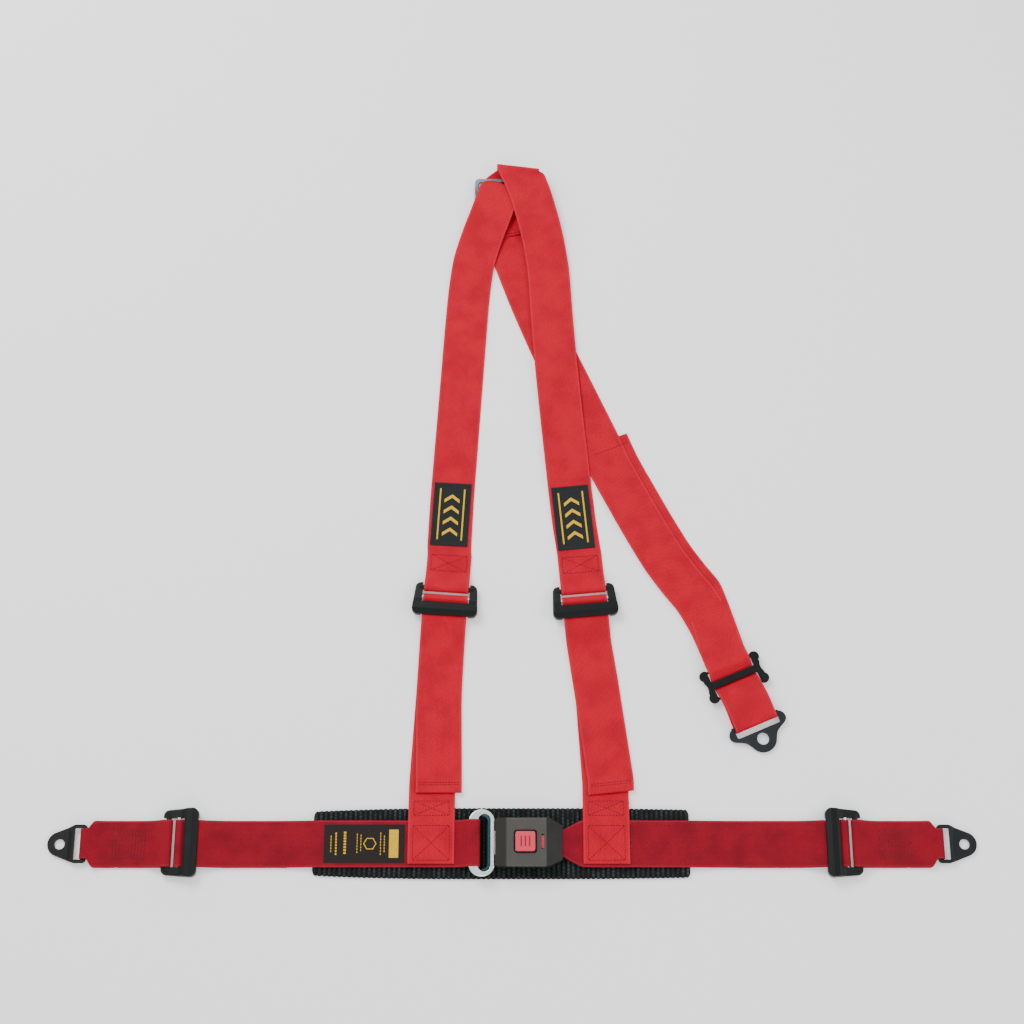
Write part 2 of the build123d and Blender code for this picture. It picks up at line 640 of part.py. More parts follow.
# lap strap from the buckle to the adjuster, gathered where it enters the buckle
bar_z = (FRAME_Z0 + FRAME_Z1) / 2
bar_wrap = (FRAME_Z1 - FRAME_Z0) / 2 + WEB_GAP + WEB_T / 2
threaded_right = [(LAP_ADJUSTER_X - u, z, WEB_W) for u, z in reversed(threaded)]
lap_right = (
    [(124, LAP_Z, WEB_W), (78, LAP_Z, WEB_W), (64, 4.95, 40.0), (52, 6.3, BUCKLE_WEB_W)]
    + [
        (x, z, BUCKLE_WEB_W)
        for x, z in bend(STRAP_BAR[0] + 0.6, bar_z, bar_wrap, 270, 90)
    ]
    + [(48, 11.2, BUCKLE_WEB_W), (56, 9.6, 29.0), (65, 7.6, 40.0), (74, LAP_TOP_Z, WEB_W)]
    + [(130, LAP_TOP_Z, WEB_W), (142, LAP_Z, WEB_W), (192, LAP_Z, WEB_W)]
    + [(212, SECOND_Z + 0.8, WEB_W), (232, SECOND_Z, WEB_W)]
    + threaded_right
    + [(240, FLOOR_Z, WEB_W)]
)
right_lap_strap = webbing([(x, LAP_Y, z, width, 90) for x, z, width in lap_right])
save(right_lap_strap, "right_lap_strap")


# ---------------------------------------------------------------- shoulder webbing
def lower_shoulder(adjuster, seam_x, bend_x, tail_x, tail_turn):
    """From the seam on the lap belt, up through the adjuster, and back as a free tail."""
    x, y, heading = ADJUSTERS[adjuster]
    route = [
        (seam_x, LAP_Y - 22.0, CROWN_Z),
        (seam_x, LAP_Y + 24.0, CROWN_Z),
        (seam_x, LAP_Y + 38.0, LAP_TOP_Z),
        (seam_x, LAP_Y + 50.0, LAP_Z - 2.2),
        (seam_x, LAP_Y + 66.0, FLOOR_Z),
        (bend_x, -230.0, FLOOR_Z),
    ]
    tail = [
        (bend_x, -235.0, SECOND_Z),
        (tail_x, LAP_Y + 68.0, SECOND_Z),
        (tail_x, LAP_Y + 55.0, LAP_Z - 0.4),
    ]
    climb = upright((x, y), heading, threaded)
    return webbing(
        [(a, b, z, WEB_W, 0) for a, b, z in route]
        + climb
        + [(a, b, z, WEB_W, tail_turn) for a, b, z in tail]
    )


left_lower = lower_shoulder("left_shoulder", -86.4, -80.5, -79.2, 0)
save(left_lower, "left_lower_shoulder_strap")
right_lower = lower_shoulder("right_shoulder", 101.0, 94.5, 107.0, 6.0)
save(right_lower, "right_lower_shoulder_strap")

# the sewn loop at the top of a shoulder adjuster, from its hidden end to the single strap
SEWN_END_U = -55.0
shoulder_loop = [(SEWN_END_U, FLOOR_Z)] + bar_loop + [(SEWN_END_U, SEWN_Z)]

# left strap: up the chest, over the rear strap, to a rounded end on the ring's pivot
LEFT_OVER_Z = 9.5  # over the rear strap's loop
left_route = [
    (-68.5, 0.0, FLOOR_Z),
    (-61.0, 115.0, FLOOR_Z),
    (-55.5, 200.0, FLOOR_Z),
    (-51.5, 258.0, FLOOR_Z),
    (-46.5, 300.0, 3.2),
    (-36.0, 336.0, 4.4),
    (-26.0, 362.0, LEFT_OVER_Z),
]
x, y, heading = ADJUSTERS["left_shoulder"]
rounded_end = [
    (RING_X + u * 0.36, RING_Y + u * 0.93, LEFT_OVER_Z, WEB_W * math.sqrt(1 - (u / 10) ** 2), -21)
    for u in (0.0, 3.0, 6.0, 8.0, 9.4)
]
left_upper_shoulder_strap = webbing(
    upright((x, y), heading, shoulder_loop)
    + [(-71.2, -61.5, FLOOR_Z, WEB_W, -4)]
    + flip(lay(left_route))
    + rounded_end
)
save(left_upper_shoulder_strap, "left_upper_shoulder_strap")

# right strap: out of the ring behind its top bar, folded over, and down the chest
FOLD_TOP_Z = 11.7
FOLD_LOW_Z = 1.5
fold_z = (FOLD_TOP_Z + FOLD_LOW_Z) / 2
fold_r = (FOLD_TOP_Z - FOLD_LOW_Z) / 2
fold_at = (7.0, 424.7)
OVER_REAR_Z = SECOND_Z + WEB_T + WEB_GAP
hidden = [
    (RING_X, RING_Y - 9.0, 5.2, 46.0, 0),
    (RING_X, RING_Y - 2.0, 4.6, 46.0, 0),
    (RING_X + 2.0, RING_Y + 8.0, FOLD_LOW_Z, 46.0, 0),
    (RING_X + 6.0, RING_Y + 19.0, FOLD_LOW_Z, 48.0, -4),
]
fold_over = [
    (fold_at[0] + 0.1 * (u + 2), fold_at[1] + u, z, 52.0, -7.4)
    for u, z in bend(0, fold_z, fold_r, -90, 90, 8)
]
right_route = [
    (16.5, 408.0, FOLD_TOP_Z),
    (23.7, 386.0, FOLD_TOP_Z),
    (33.0, 350.0, 10.8),
    (38.5, 326.0, 4.6),
    (44.0, 288.0, OVER_REAR_Z),
    (47.0, 232.0, OVER_REAR_Z),
    (53.0, 150.0, OVER_REAR_Z),
    (60.0, 75.0, OVER_REAR_Z),
    (65.0, 23.5, OVER_REAR_Z),
    (65.9, 15.0, FLOOR_Z),
    (70.6, -30.0, FLOOR_Z),
]
x, y, heading = ADJUSTERS["right_shoulder"]
right_loop = list(reversed(upright((x, y), heading, shoulder_loop)))
right_upper_shoulder_strap = webbing(
    hidden
    + fold_over
    + lay(right_route)
    + [(75.7, -64.5, FLOOR_Z, WEB_W, 5)]
    + right_loop
)
save(right_upper_shoulder_strap, "right_upper_shoulder_strap")


# ---------------------------------------------------------------- rear webbing
RING_BAR_Y = RING_Y - RING_H / 2 + RING_BAR / 2
RING_WRAP = RING_Z - FLOOR_Z
SLIDE_TOP = SLIDE_Z0 + SLIDE_T
LAYER = 1.75  # between the two layers that run through the slide together
over_z = SLIDE_TOP + 0.35 + WEB_T / 2  # lower layer, over an outer bar
under_z = SLIDE_Z0 - 0.3 - WEB_T / 2 - LAYER  # lower layer, below the middle bar
slide_low = [(-24, over_z - 0.8), (-20, over_z), (-13.3, over_z), (-4.8, under_z)]
slide_low = slide_low + [(4.8, under_z), (13.3, over_z), (20, over_z + 0.4)]
slide_high = [(u, z + LAYER) for u, z in slide_low]

rear_plan = [
    (-5.5, 330.0),
    (-1.0, 315.0),
    (22.0, 250.0),
    (50.0, 180.0),
    (79.0, 116.0),
    (101.0, 66.0),
    (113.5, 35.0),
    (147.5, -32.0),
    (171.5, -75.0),
    (190.0, -101.5),
    (206.5, -122.0),
    (222.0, -151.0),
]
ring_sewn = [
    (-7.5, 336.0, SEWN_Z, WEB_W, 12),
    (-11.5, 362.0, SEWN_Z, WEB_W, 6),
    (-13.5, 371.0, 5.4, WEB_W, 3),
]
ring_loop = [
    (RING_X, RING_BAR_Y + u, z, 47.0, 0)
    for u, z in bend(0, RING_Z, RING_WRAP, 115, -90, 7)
]
main_route = [(x, y, FLOOR_Z if y > 90 else SECOND_Z) for x, y in rear_plan]
tail_route = [(x + 9.0, y + 4.5, FLOOR_Z) for x, y in reversed(rear_plan) if 80 > y > -140]


plate_bend = bend(REAR_BAR_U, PLATE_BAR_Z, PLATE_WRAP, 90, -90)
hump_high = [(30, 13.0), (40, 12.0), (48, 9.7)]
hump_low = [(47, 1.2), (40, 3.8), (30, 8.0)]
rear_profile = slide_high + hump_high + plate_bend + hump_low + list(reversed(slide_low))
rear_strap = webbing(
    ring_sewn
    + ring_loop
    + [(-13.0, 366.0, FLOOR_Z, WEB_W, 4), (-9.5, 348.0, FLOOR_Z, WEB_W, 9)]
    + lay(main_route)
    + upright(SLIDE_AT, SLIDE_HEADING, rear_profile, WEB_W - 0.6)
    + flip(lay(tail_route))
)
save(rear_strap, "rear_strap")


# ---------------------------------------------------------------- patches, label and pad
PATCH_W, PATCH_L, PATCH_T = 43.0, 77.0, 0.8


def patch(centre, angle, z):
    """A woven badge sewn on a shoulder strap."""
    with BuildPart() as badge:
        with BuildSketch(Plane(origin=(*centre, z), x_dir=Vector(1, 0, 0).rotate(Axis.Z, angle))):
            RectangleRounded(PATCH_W, PATCH_L, 1.5)
        extrude(amount=PATCH_T)
    return badge


save(patch((-69.6, -20.5), -3.4, WEB_T + SEWN_GAP), "left_shoulder_patch")
save(patch((69.6, -24.5), 5.6, WEB_T + SEWN_GAP), "right_shoulder_patch")

with BuildPart() as label_tag:
    with BuildSketch(Plane.XY.offset(LAP_Z + WEB_T / 2 + SEWN_GAP)):
        with Locations((-157.8, LAP_Y)):
            RectangleRounded(87.0, 41.5, 1.0)
    extrude(amount=0.4)
save(label_tag, "label_tag")

with BuildPart() as lap_pad:
    with BuildSketch(Plane.XY):
        with Locations((PAD_X, PAD_Y)):
            RectangleRounded(PAD_L, PAD_W, 5.0)
    extrude(amount=PAD_T)
    fillet(lap_pad.edges().group_by(Axis.Z)[-1], 1.2)
save(lap_pad, "lap_pad")
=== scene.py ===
# %% [markdown]
# # A racing harness, laid flat
# The harness is webbing, stitched loops and a few steel and moulded parts. The metal and the
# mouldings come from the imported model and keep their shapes. Everything woven is made here:
# each strap is one long ribbon that follows its route through the hardware.

import math

import bpy
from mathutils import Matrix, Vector
from mathutils.bvhtree import BVHTree


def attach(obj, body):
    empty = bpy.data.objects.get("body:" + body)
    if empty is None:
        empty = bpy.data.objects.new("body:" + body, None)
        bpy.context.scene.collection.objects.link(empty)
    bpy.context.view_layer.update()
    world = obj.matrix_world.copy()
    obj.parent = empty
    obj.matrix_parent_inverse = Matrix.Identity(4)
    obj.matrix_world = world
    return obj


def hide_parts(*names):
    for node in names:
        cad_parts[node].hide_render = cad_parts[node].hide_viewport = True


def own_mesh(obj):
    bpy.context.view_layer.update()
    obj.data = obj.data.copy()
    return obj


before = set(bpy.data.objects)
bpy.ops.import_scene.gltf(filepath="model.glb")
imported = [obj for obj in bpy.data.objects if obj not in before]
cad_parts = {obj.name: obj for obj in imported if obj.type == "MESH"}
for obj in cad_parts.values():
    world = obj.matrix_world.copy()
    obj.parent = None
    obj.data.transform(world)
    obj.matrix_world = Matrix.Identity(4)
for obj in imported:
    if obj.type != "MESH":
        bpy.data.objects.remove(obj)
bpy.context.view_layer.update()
MM = 0.001

# %% [markdown]
# ## Camera, floor and light
# A laid-out product is shown from high above, on pale paper, with large soft lamps. The camera
# stands in front of the lap belt and looks down at seventy degrees. One big soft lamp comes
# from the upper left, weaker ones from the right and the front, and the white surroundings
# fill the rest.

# %% Camera
VIEW_FROM = Vector((0.0, -0.7205, 1.9330))
VIEW_TO = Vector((0.0, -0.017, 0.0))
camera_data = bpy.data.cameras.new("camera")
camera_data.lens = 63.28
camera_data.sensor_width = 36.0
camera = bpy.data.objects.new("camera", camera_data)
bpy.context.collection.objects.link(camera)
camera.location = VIEW_FROM
look = VIEW_TO - camera.location
camera.rotation_euler = look.to_track_quat("-Z", "Y").to_euler()
bpy.context.scene.camera = camera
print("camera distance", round(look.length, 3))

# %% Floor
FLOOR_REACH = 8
FLOOR_LEVEL = -0.0006  # just below the webbing, so that the two never share a plane
floor_corners = [
    (x * FLOOR_REACH, y * FLOOR_REACH, FLOOR_LEVEL) for x, y in ((-1, -1), (1, -1), (1, 1), (-1, 1))
]
floor_mesh = bpy.data.meshes.new("floor")
floor_mesh.from_pydata(floor_corners, [], [(0, 1, 2, 3)])
floor = bpy.data.objects.new("floor", floor_mesh)
bpy.context.collection.objects.link(floor)
floor_paint = bpy.data.materials.new("floor_paper")
floor_paint.use_nodes = True
floor_shader = floor_paint.node_tree.nodes["Principled BSDF"]
floor_shader.inputs["Base Color"].default_value = (0.93, 0.93, 0.93, 1)
floor_shader.inputs["Roughness"].default_value = 0.9
floor_shader.inputs["Emission Color"].default_value = (1, 1, 1, 1)
floor_shader.inputs["Emission Strength"].default_value = 0.25
floor_mesh.materials.append(floor_paint)


# %% Lamps
def soft_lamp(name, place, size, power, tint=(1, 1, 1)):
    """A square soft lamp that faces the middle of the harness."""
    data = bpy.data.lights.new(name, "AREA")
    data.size = size
    data.energy = power
    data.color = tint
    lamp = bpy.data.objects.new(name, data)
    bpy.context.collection.objects.link(lamp)
    lamp.location = place
    lamp.rotation_euler = (-Vector(place)).to_track_quat("-Z", "Y").to_euler()
    return lamp


soft_lamp("key_lamp", (-1.1, 1.2, 1.9), 1.2, 50)
soft_lamp("side_lamp", (1.7, -0.3, 1.3), 0.9, 10)
soft_lamp("front_lamp", (0.1, -1.9, 0.9), 1.0, 8)
world = bpy.data.worlds.new("surroundings")
bpy.context.scene.world = world
world.use_nodes = True
surroundings = world.node_tree.nodes["Background"]
surroundings.inputs["Color"].default_value = (1.0, 1.0, 1.0, 1.0)
surroundings.inputs["Strength"].default_value = 1.0

# %% [markdown]
# ## Materials
# Every finish is a small tree of nodes. `Finish` keeps the typing short: it adds nodes, joins
# them, and ends in one shader. Numbers that are the same all over go straight on the shader.


# %% A small helper for node trees
class Finish:
    """A procedural material: nodes are added by kind and joined by name."""

    def __init__(self, name, roughness=0.5, metallic=0.0, **fixed):
        self.material = bpy.data.materials.new(name)
        self.material.use_nodes = True
        self.tree = self.material.node_tree
        self.shader = self.tree.nodes["Principled BSDF"]
        self.shader.inputs["Roughness"].default_value = roughness
        self.shader.inputs["Metallic"].default_value = metallic
        for socket, value in fixed.items():
            self.shader.inputs[socket.replace("_", " ")].default_value = value

    def node(self, kind, sources=(), **settings):
        """A node; sources are (socket, value or output) pairs."""
        made = self.tree.nodes.new(kind)
        for key, value in settings.items():
            setattr(made, key, value)
        for socket, value in sources:
            self.feed(made.inputs[socket], value)
        return made

    def feed(self, socket, value):
        if isinstance(value, bpy.types.NodeSocket):
            self.tree.links.new(value, socket)
        else:
            socket.default_value = value

    def calc(self, operation, first, second=0.0, third=0.0):
        sources = [(0, first), (1, second), (2, third)]
        return self.node("ShaderNodeMath", sources, operation=operation).outputs[0]

    def times(self, first, second):
        return self.calc("MULTIPLY", first, second)

    def plus(self, first, second):
        return self.calc("ADD", first, second)

    def blend(self, amount, first, second):
        """A colour between two others."""
        made = self.node("ShaderNodeMix", data_type="RGBA")
        self.feed(made.inputs["Factor"], amount)
        self.feed(made.inputs["A"], first)
        self.feed(made.inputs["B"], second)
        return made.outputs["Result"]

    def noise(self, scale, detail=3.0, vector=None):
        made = self.node("ShaderNodeTexNoise", [("Scale", scale), ("Detail", detail)])
        if vector is None:
            vector = self.node("ShaderNodeTexCoord").outputs["Object"]
        self.feed(made.inputs["Vector"], vector)
        return made.outputs["Fac"]

    def step(self, value, low, high):
        """0 below low, 1 above high, smooth between."""
        sources = [("Value", value), ("From Min", low), ("From Max", high)]
        made = self.node("ShaderNodeMapRange", sources, interpolation_type="SMOOTHSTEP")
        return made.outputs["Result"]

    def bump(self, height, depth, strength=1.0):
        """Depth is the real height of the relief, in metres."""
        sources = [("Height", height), ("Distance", depth), ("Strength", strength)]
        made = self.node("ShaderNodeBump", sources)
        self.feed(self.shader.inputs["Normal"], made.outputs["Normal"])

    def colour(self, value):
        self.feed(self.shader.inputs["Base Color"], value)

    def rough(self, value):
        self.feed(self.shader.inputs["Roughness"], value)


def tone(text):
    """A linear colour from six hex digits."""
    parts = [int(text[i : i + 2], 16) / 255 for i in (0, 2, 4)]
    return [((c + 0.055) / 1.055) ** 2.4 if c > 0.04 else c / 12.92 for c in parts] + [1.0]


def dimmed(text, factor):
    """The same tone made darker or lighter by a factor."""
    return [c * factor for c in tone(text)[:3]] + [1.0]


# %% [markdown]
# Webbing is a thick flat weave. Its face shows fine ribs straight across the strap, crossed by
# columns of warp yarn, with painted shade in the grooves between them and a painted highlight,
# a slightly lighter band, on the rolled edge of each side. The ribbon carries its own flat
# coordinates in metres, so that the weave stays the same size round every bend.


# %% Webbing
RIB_PITCH = 0.0020
YARN_PITCH = 0.0026
# the band where the painted highlight of the rolled edge comes in
EDGE_HIGHLIGHT_BAND = (0.0226, 0.0232)  # from the strap's centre line to where its edge rolls over


def webbing_finish(name, face, shade, edge):
    made = Finish(name, roughness=0.82, Sheen_Weight=0.06, Sheen_Roughness=0.4)
    made.shader.inputs["Specular IOR Level"].default_value = 0.15
    made.shader.inputs["Sheen Tint"].default_value = tone(edge)
    flat = made.node("ShaderNodeUVMap").outputs["UV"]
    split = made.node("ShaderNodeSeparateXYZ", [(0, flat)])
    across, along = split.outputs[0], split.outputs[1]
    turn = made.times(across, 2 * math.pi / YARN_PITCH)
    yarn = made.calc("SINE", turn)
    slant = made.times(made.calc("SIGN", yarn), RIB_PITCH / 4)
    shifted = made.plus(along, slant)
    rib = made.calc("SINE", made.times(shifted, 2 * math.pi / RIB_PITCH))
    ribs = made.times(rib, 0.65)
    relief = made.plus(ribs, made.times(made.calc("ABSOLUTE", yarn), 0.45))
    # painted shade: the grooves between ribs and yarn columns are darkened towards a dimmed shade
    # colour
    groove_shade = made.step(relief, 0.35, -0.65)
    patchy = made.noise(38.0, 4.0)
    fuzz = made.noise(2600.0, 2.0)
    worn = made.step(patchy, 0.35, 0.7)
    body = made.blend(worn, tone(face), tone(shade))
    amount = made.times(groove_shade, 0.8)
    body = made.blend(amount, body, dimmed(shade, 0.42))
    # painted highlight: the rolled edges are lightened towards the edge colour
    rim = made.step(made.calc("ABSOLUTE", across), *EDGE_HIGHLIGHT_BAND)
    body = made.blend(made.times(rim, 0.35), body, tone(edge))
    body = made.blend(made.times(fuzz, 0.22), body, tone(shade))
    made.colour(body)
    made.rough(made.plus(made.times(fuzz, 0.2), 0.68))
    made.bump(made.plus(relief, made.times(fuzz, 0.5)), 0.0003, 1.0)
    return made.material


LAP_RED = webbing_finish("lap_webbing", "9a0f25", "820e22", "ac2a3c")
SHOULDER_RED = webbing_finish("shoulder_webbing", "d0062a", "ba0726", "d82c46")
print("webbing finishes", LAP_RED.name, SHOULDER_RED.name)

# %% [markdown]
# ## Where the webbing runs
# A strap's route is a list of stations: a place, the width there, and the angle of the width
# direction. Near a bar the route is a side profile bent round it. These are the routes of the
# designed model, in millimetres, so a ribbon made from them fits the hardware.

# %% Sizes, in millimetres
WEB_W = 50.0  # two-inch webbing
WEB_T = 1.3
WEB_GAP = 0.3  # between webbing and the bar it wraps
SEWN_GAP = 0.1  # between two layers that are stitched together
FLOOR_Z = WEB_T / 2  # middle of a strap that lies on the floor
SECOND_Z = FLOOR_Z + WEB_T + WEB_GAP  # middle of a loose strap on top of it
SEWN_Z = FLOOR_Z + WEB_T + SEWN_GAP  # middle of a strap that is stitched on top of it

LAP_Y = -396.0  # centre line of the lap belt
LAP_ADJUSTER_X = 354.5
PLATE_BAR_X = 457.3  # the bar of a lap anchor plate that the webbing wraps
PLATE_BAR_Z = 4.6

PAD_L, PAD_W, PAD_T = 403.0, 77.0, 4.0
PAD_X = -11.5
PAD_Y = -395.0
LAP_Z = PAD_T + WEB_GAP + WEB_T / 2  # middle of the lap belt on the pad
LAP_TOP_Z = LAP_Z + WEB_T + SEWN_GAP  # second layer of its sewn loops
CROWN_Z = LAP_TOP_Z + WEB_T + SEWN_GAP  # shoulder strap end, sewn on top of both

RING_X, RING_Y, RING_Z = -14.6, 396.4, 4.25
RING_H, RING_BAR = 36.0, 5.5
LOOP_BAR_U, LOOP_BAR_Z, LOOP_BAR_R = -13.0, 7.0, 3.0
LOCK_BAR_U, LOCK_BAR_Z, LOCK_BAR_R = -2.0, 7.0, 2.5
FRONT_U0, FRONT_U1, FRONT_Z = 4.5, 18.5, 9.0
TONGUE_Z0, RING_PLATE_T = 10.4, 3.0
TONGUE_SLOT_X = -35.9
SLIDE_AT = (245.0, -213.0)
SLIDE_HEADING = -67.0
REAR_BAR_U = 54.0
SLIDE_Z0, SLIDE_T = 4.2, 3.0
FRAME_Z0, FRAME_Z1 = 7.6, 10.0
STRAP_BAR = (41.0, 45.0)
BUCKLE_WEB_W = 26.0
print("webbing", WEB_W, "by", WEB_T, "mm")


# %% Ways to lay out stations
def bend(u, z, radius, start, end, steps=6):
    """Points of a side profile round a bar at (u, z), from angle start to end in degrees."""
    angles = [start + (end - start) * i / steps for i in range(steps + 1)]
    return [
        (u + radius * math.cos(math.radians(a)), z + radius * math.sin(math.radians(a)))
        for a in angles
    ]


def upright(origin, heading, profile, width=WEB_W):
    """Stations of a strap whose side profile (u, z) runs straight along one heading."""
    c = math.cos(math.radians(heading))
    s = math.sin(math.radians(heading))
    return [
        (origin[0] + u * c, origin[1] + u * s, z, width, heading + 90)
        for u, z in profile
    ]


def lay(points, width=WEB_W):
    """Stations of a strap that follows a plan route of (x, y, z) points, square to its route."""
    stations = []
    for i, (x, y, z) in enumerate(points):
        before = points[max(i - 1, 0)]
        after = points[min(i + 1, len(points) - 1)]
        heading = math.degrees(math.atan2(after[1] - before[1], after[0] - before[0]))
        stations.append((x, y, z, width, heading + 90))
    return stations


def flip(stations):
    """The same stations with the width direction turned round, so that it never jumps."""
    return [(a, b, z, w, c + 180) for a, b, z, w, c in stations]


# %% Side profiles at an adjuster
BAR_WRAP = LOOP_BAR_R + WEB_GAP + WEB_T / 2 + 0.05
LOCK_WRAP = LOCK_BAR_R + WEB_GAP + WEB_T / 2 + 0.05
PLATE_WRAP = PLATE_BAR_Z - FLOOR_Z
UNDER_FRONT_HIGH = FRONT_Z - WEB_GAP - WEB_T / 2
UNDER_FRONT_LOW = UNDER_FRONT_HIGH - WEB_T - WEB_GAP

# webbing threaded through an adjuster: in below the front bar, round the lock bar, out again
threaded_low = [
    (44, FLOOR_Z),
    (26, 4.6),
    (FRONT_U1 + 0.5, UNDER_FRONT_LOW),
    (FRONT_U0 + 0.5, UNDER_FRONT_LOW),
    (LOCK_BAR_U + 2.5, LOCK_BAR_Z - LOCK_WRAP),
]
threaded_high = [
    (LOCK_BAR_U + 2.5, LOCK_BAR_Z + LOCK_WRAP),
    (FRONT_U0 - 0.3, UNDER_FRONT_HIGH),
    (FRONT_U1 + 0.5, UNDER_FRONT_HIGH),
    (28, 6.0),
    (46, SECOND_Z),
]
threaded = (
    threaded_low + bend(LOCK_BAR_U, LOCK_BAR_Z, LOCK_WRAP, 270, 90) + threaded_high
)

# webbing sewn in a loop round the adjuster's outer bar
loop_low = [(-34, FLOOR_Z), (-20, 1.6)]
loop_high = [(-19.5, 8.9), (-34, SEWN_Z)]
bar_loop = loop_low + bend(LOOP_BAR_U, LOOP_BAR_Z, BAR_WRAP, -90, 115, 7) + loop_high
ADJUSTERS = {
    # name: plan position and heading of the loaded strap
    "left_lap": (-LAP_ADJUSTER_X, LAP_Y + 1.0, 0),
    "right_lap": (LAP_ADJUSTER_X, LAP_Y + 1.0, 180),
    "left_shoulder": (-74.4, -124.0, -94),
    "right_shoulder": (81.2, -125.5, -85),
}

# %% Lap routes
plate_u = LAP_ADJUSTER_X - PLATE_BAR_X
anchor_profile = (
    [(-70, FLOOR_Z, WEB_W), (plate_u + 9, FLOOR_Z, WEB_W), (plate_u + 4, FLOOR_Z, 32.0)]
    + [(u, z, 32.0) for u, z in bend(plate_u, PLATE_BAR_Z, PLATE_WRAP, 270, 90)]
    + [(plate_u + 4, 7.4, 32.0), (plate_u + 9, 4.9, WEB_W), (plate_u + 18, SEWN_Z, WEB_W)]
    + [(u, z, WEB_W) for u, z in reversed(bar_loop)]
    + [(-66, FLOOR_Z, WEB_W)]
)
anchor_stations = [
    (u - LAP_ADJUSTER_X, LAP_Y, z, width, 90) for u, z, width in anchor_profile
]
LEFT_ANCHOR = anchor_stations
RIGHT_ANCHOR = [(-x, y, z, w, c) for x, y, z, w, c in anchor_stations]
low, high = TONGUE_Z0 - WEB_GAP - WEB_T / 2, TONGUE_Z0 + RING_PLATE_T + WEB_GAP + WEB_T / 2
wrap = (high - low) / 2
lap_left = (
    [(-240.0, FLOOR_Z)]
    + [(u - LAP_ADJUSTER_X, z) for u, z in threaded]
    + [(-250, SECOND_Z), (-232, SECOND_Z + 0.8), (-215, LAP_Z), (-114.5, LAP_Z)]
    + [(-109, LAP_TOP_Z), (-59, LAP_TOP_Z), (-52, 9.6), (-46, high)]
    + bend(TONGUE_SLOT_X - 0.9, (low + high) / 2, wrap, 90, -90)
    + [(-46, low), (-52, 7.0), (-58, LAP_Z), (-105, LAP_Z)]
)
LEFT_LAP = [(x, LAP_Y, z, WEB_W, 90) for x, z in lap_left]
bar_z = (FRAME_Z0 + FRAME_Z1) / 2
bar_wrap = (FRAME_Z1 - FRAME_Z0) / 2 + WEB_GAP + WEB_T / 2
threaded_right = [(LAP_ADJUSTER_X - u, z, WEB_W) for u, z in reversed(threaded)]
lap_right = (
    [(124, LAP_Z, WEB_W), (78, LAP_Z, WEB_W), (64, 4.95, 40.0), (52, 6.3, BUCKLE_WEB_W)]
    + [
        (x, z, BUCKLE_WEB_W)
        for x, z in bend(STRAP_BAR[0] + 0.6, bar_z, bar_wrap, 270, 90)
    ]
    + [(48, 11.2, BUCKLE_WEB_W), (56, 9.6, 29.0), (65, 7.6, 40.0), (74, LAP_TOP_Z, WEB_W)]
    + [(130, LAP_TOP_Z, WEB_W), (142, LAP_Z, WEB_W), (192, LAP_Z, WEB_W)]
    + [(212, SECOND_Z + 0.8, WEB_W), (232, SECOND_Z, WEB_W)]
    + threaded_right
    + [(240, FLOOR_Z, WEB_W)]
)
RIGHT_LAP = [(x, LAP_Y, z, width, 90) for x, z, width in lap_right]
print("lap stations", len(LEFT_LAP), len(RIGHT_LAP))


# %% Lower shoulder routes
def lower_shoulder(adjuster, seam_x, bend_x, tail_x, tail_turn):
    """From the seam on the lap belt, up through the adjuster, and back as a free tail."""
    x, y, heading = ADJUSTERS[adjuster]
    route = [
        (seam_x, LAP_Y - 22.0, CROWN_Z),
        (seam_x, LAP_Y + 24.0, CROWN_Z),
        (seam_x, LAP_Y + 38.0, LAP_TOP_Z),
        (seam_x, LAP_Y + 50.0, LAP_Z - 2.2),
        (seam_x, LAP_Y + 66.0, FLOOR_Z),
        (bend_x, -230.0, FLOOR_Z),
    ]
    tail = [
        (bend_x, -235.0, SECOND_Z),
        (tail_x, LAP_Y + 68.0, SECOND_Z),
        (tail_x, LAP_Y + 55.0, LAP_Z - 0.4),
    ]
    climb = upright((x, y), heading, threaded)
    return (
        [(a, b, z, WEB_W, 0) for a, b, z in route]
        + climb
        + [(a, b, z, WEB_W, tail_turn) for a, b, z in tail]
    )


# places across the lap belt of the seam, the bend and the tail, and how far the tail is turned
LOWER = {"left": (-86.4, -80.5, -79.2, 0), "right": (101.0, 94.5, 107.0, 6.0)}
LEFT_LOWER = lower_shoulder("left_shoulder", *LOWER["left"])
RIGHT_LOWER = lower_shoulder("right_shoulder", *LOWER["right"])

# %% Upper shoulder routes
SEWN_END_U = -55.0
shoulder_loop = [(SEWN_END_U, FLOOR_Z)] + bar_loop + [(SEWN_END_U, SEWN_Z)]

# left strap: up the chest, over the rear strap, to a rounded end on the ring's pivot
LEFT_OVER_Z = 9.5  # over the rear strap's loop
left_route = [
    (-68.5, 0.0, FLOOR_Z),
    (-61.0, 115.0, FLOOR_Z),
    (-55.5, 200.0, FLOOR_Z),
    (-51.5, 258.0, FLOOR_Z),
    (-46.5, 300.0, 3.2),
    (-36.0, 336.0, 4.4),
    (-26.0, 362.0, LEFT_OVER_Z),
]
x, y, heading = ADJUSTERS["left_shoulder"]
END_REACH = 10  # from the pivot to the tip of the rounded end
rounded_end = [
    (
        RING_X + u * 0.36,
        RING_Y + u * 0.93,
        LEFT_OVER_Z,
        WEB_W * math.sqrt(1 - (u / END_REACH) ** 2),
        -21,
    )
    for u in (0.0, 3.0, 6.0, 8.0, 9.4)
]
LEFT_UPPER = (
    upright((x, y), heading, shoulder_loop)
    + [(-71.2, -61.5, FLOOR_Z, WEB_W, -4)]
    + flip(lay(left_route))
    + rounded_end
)
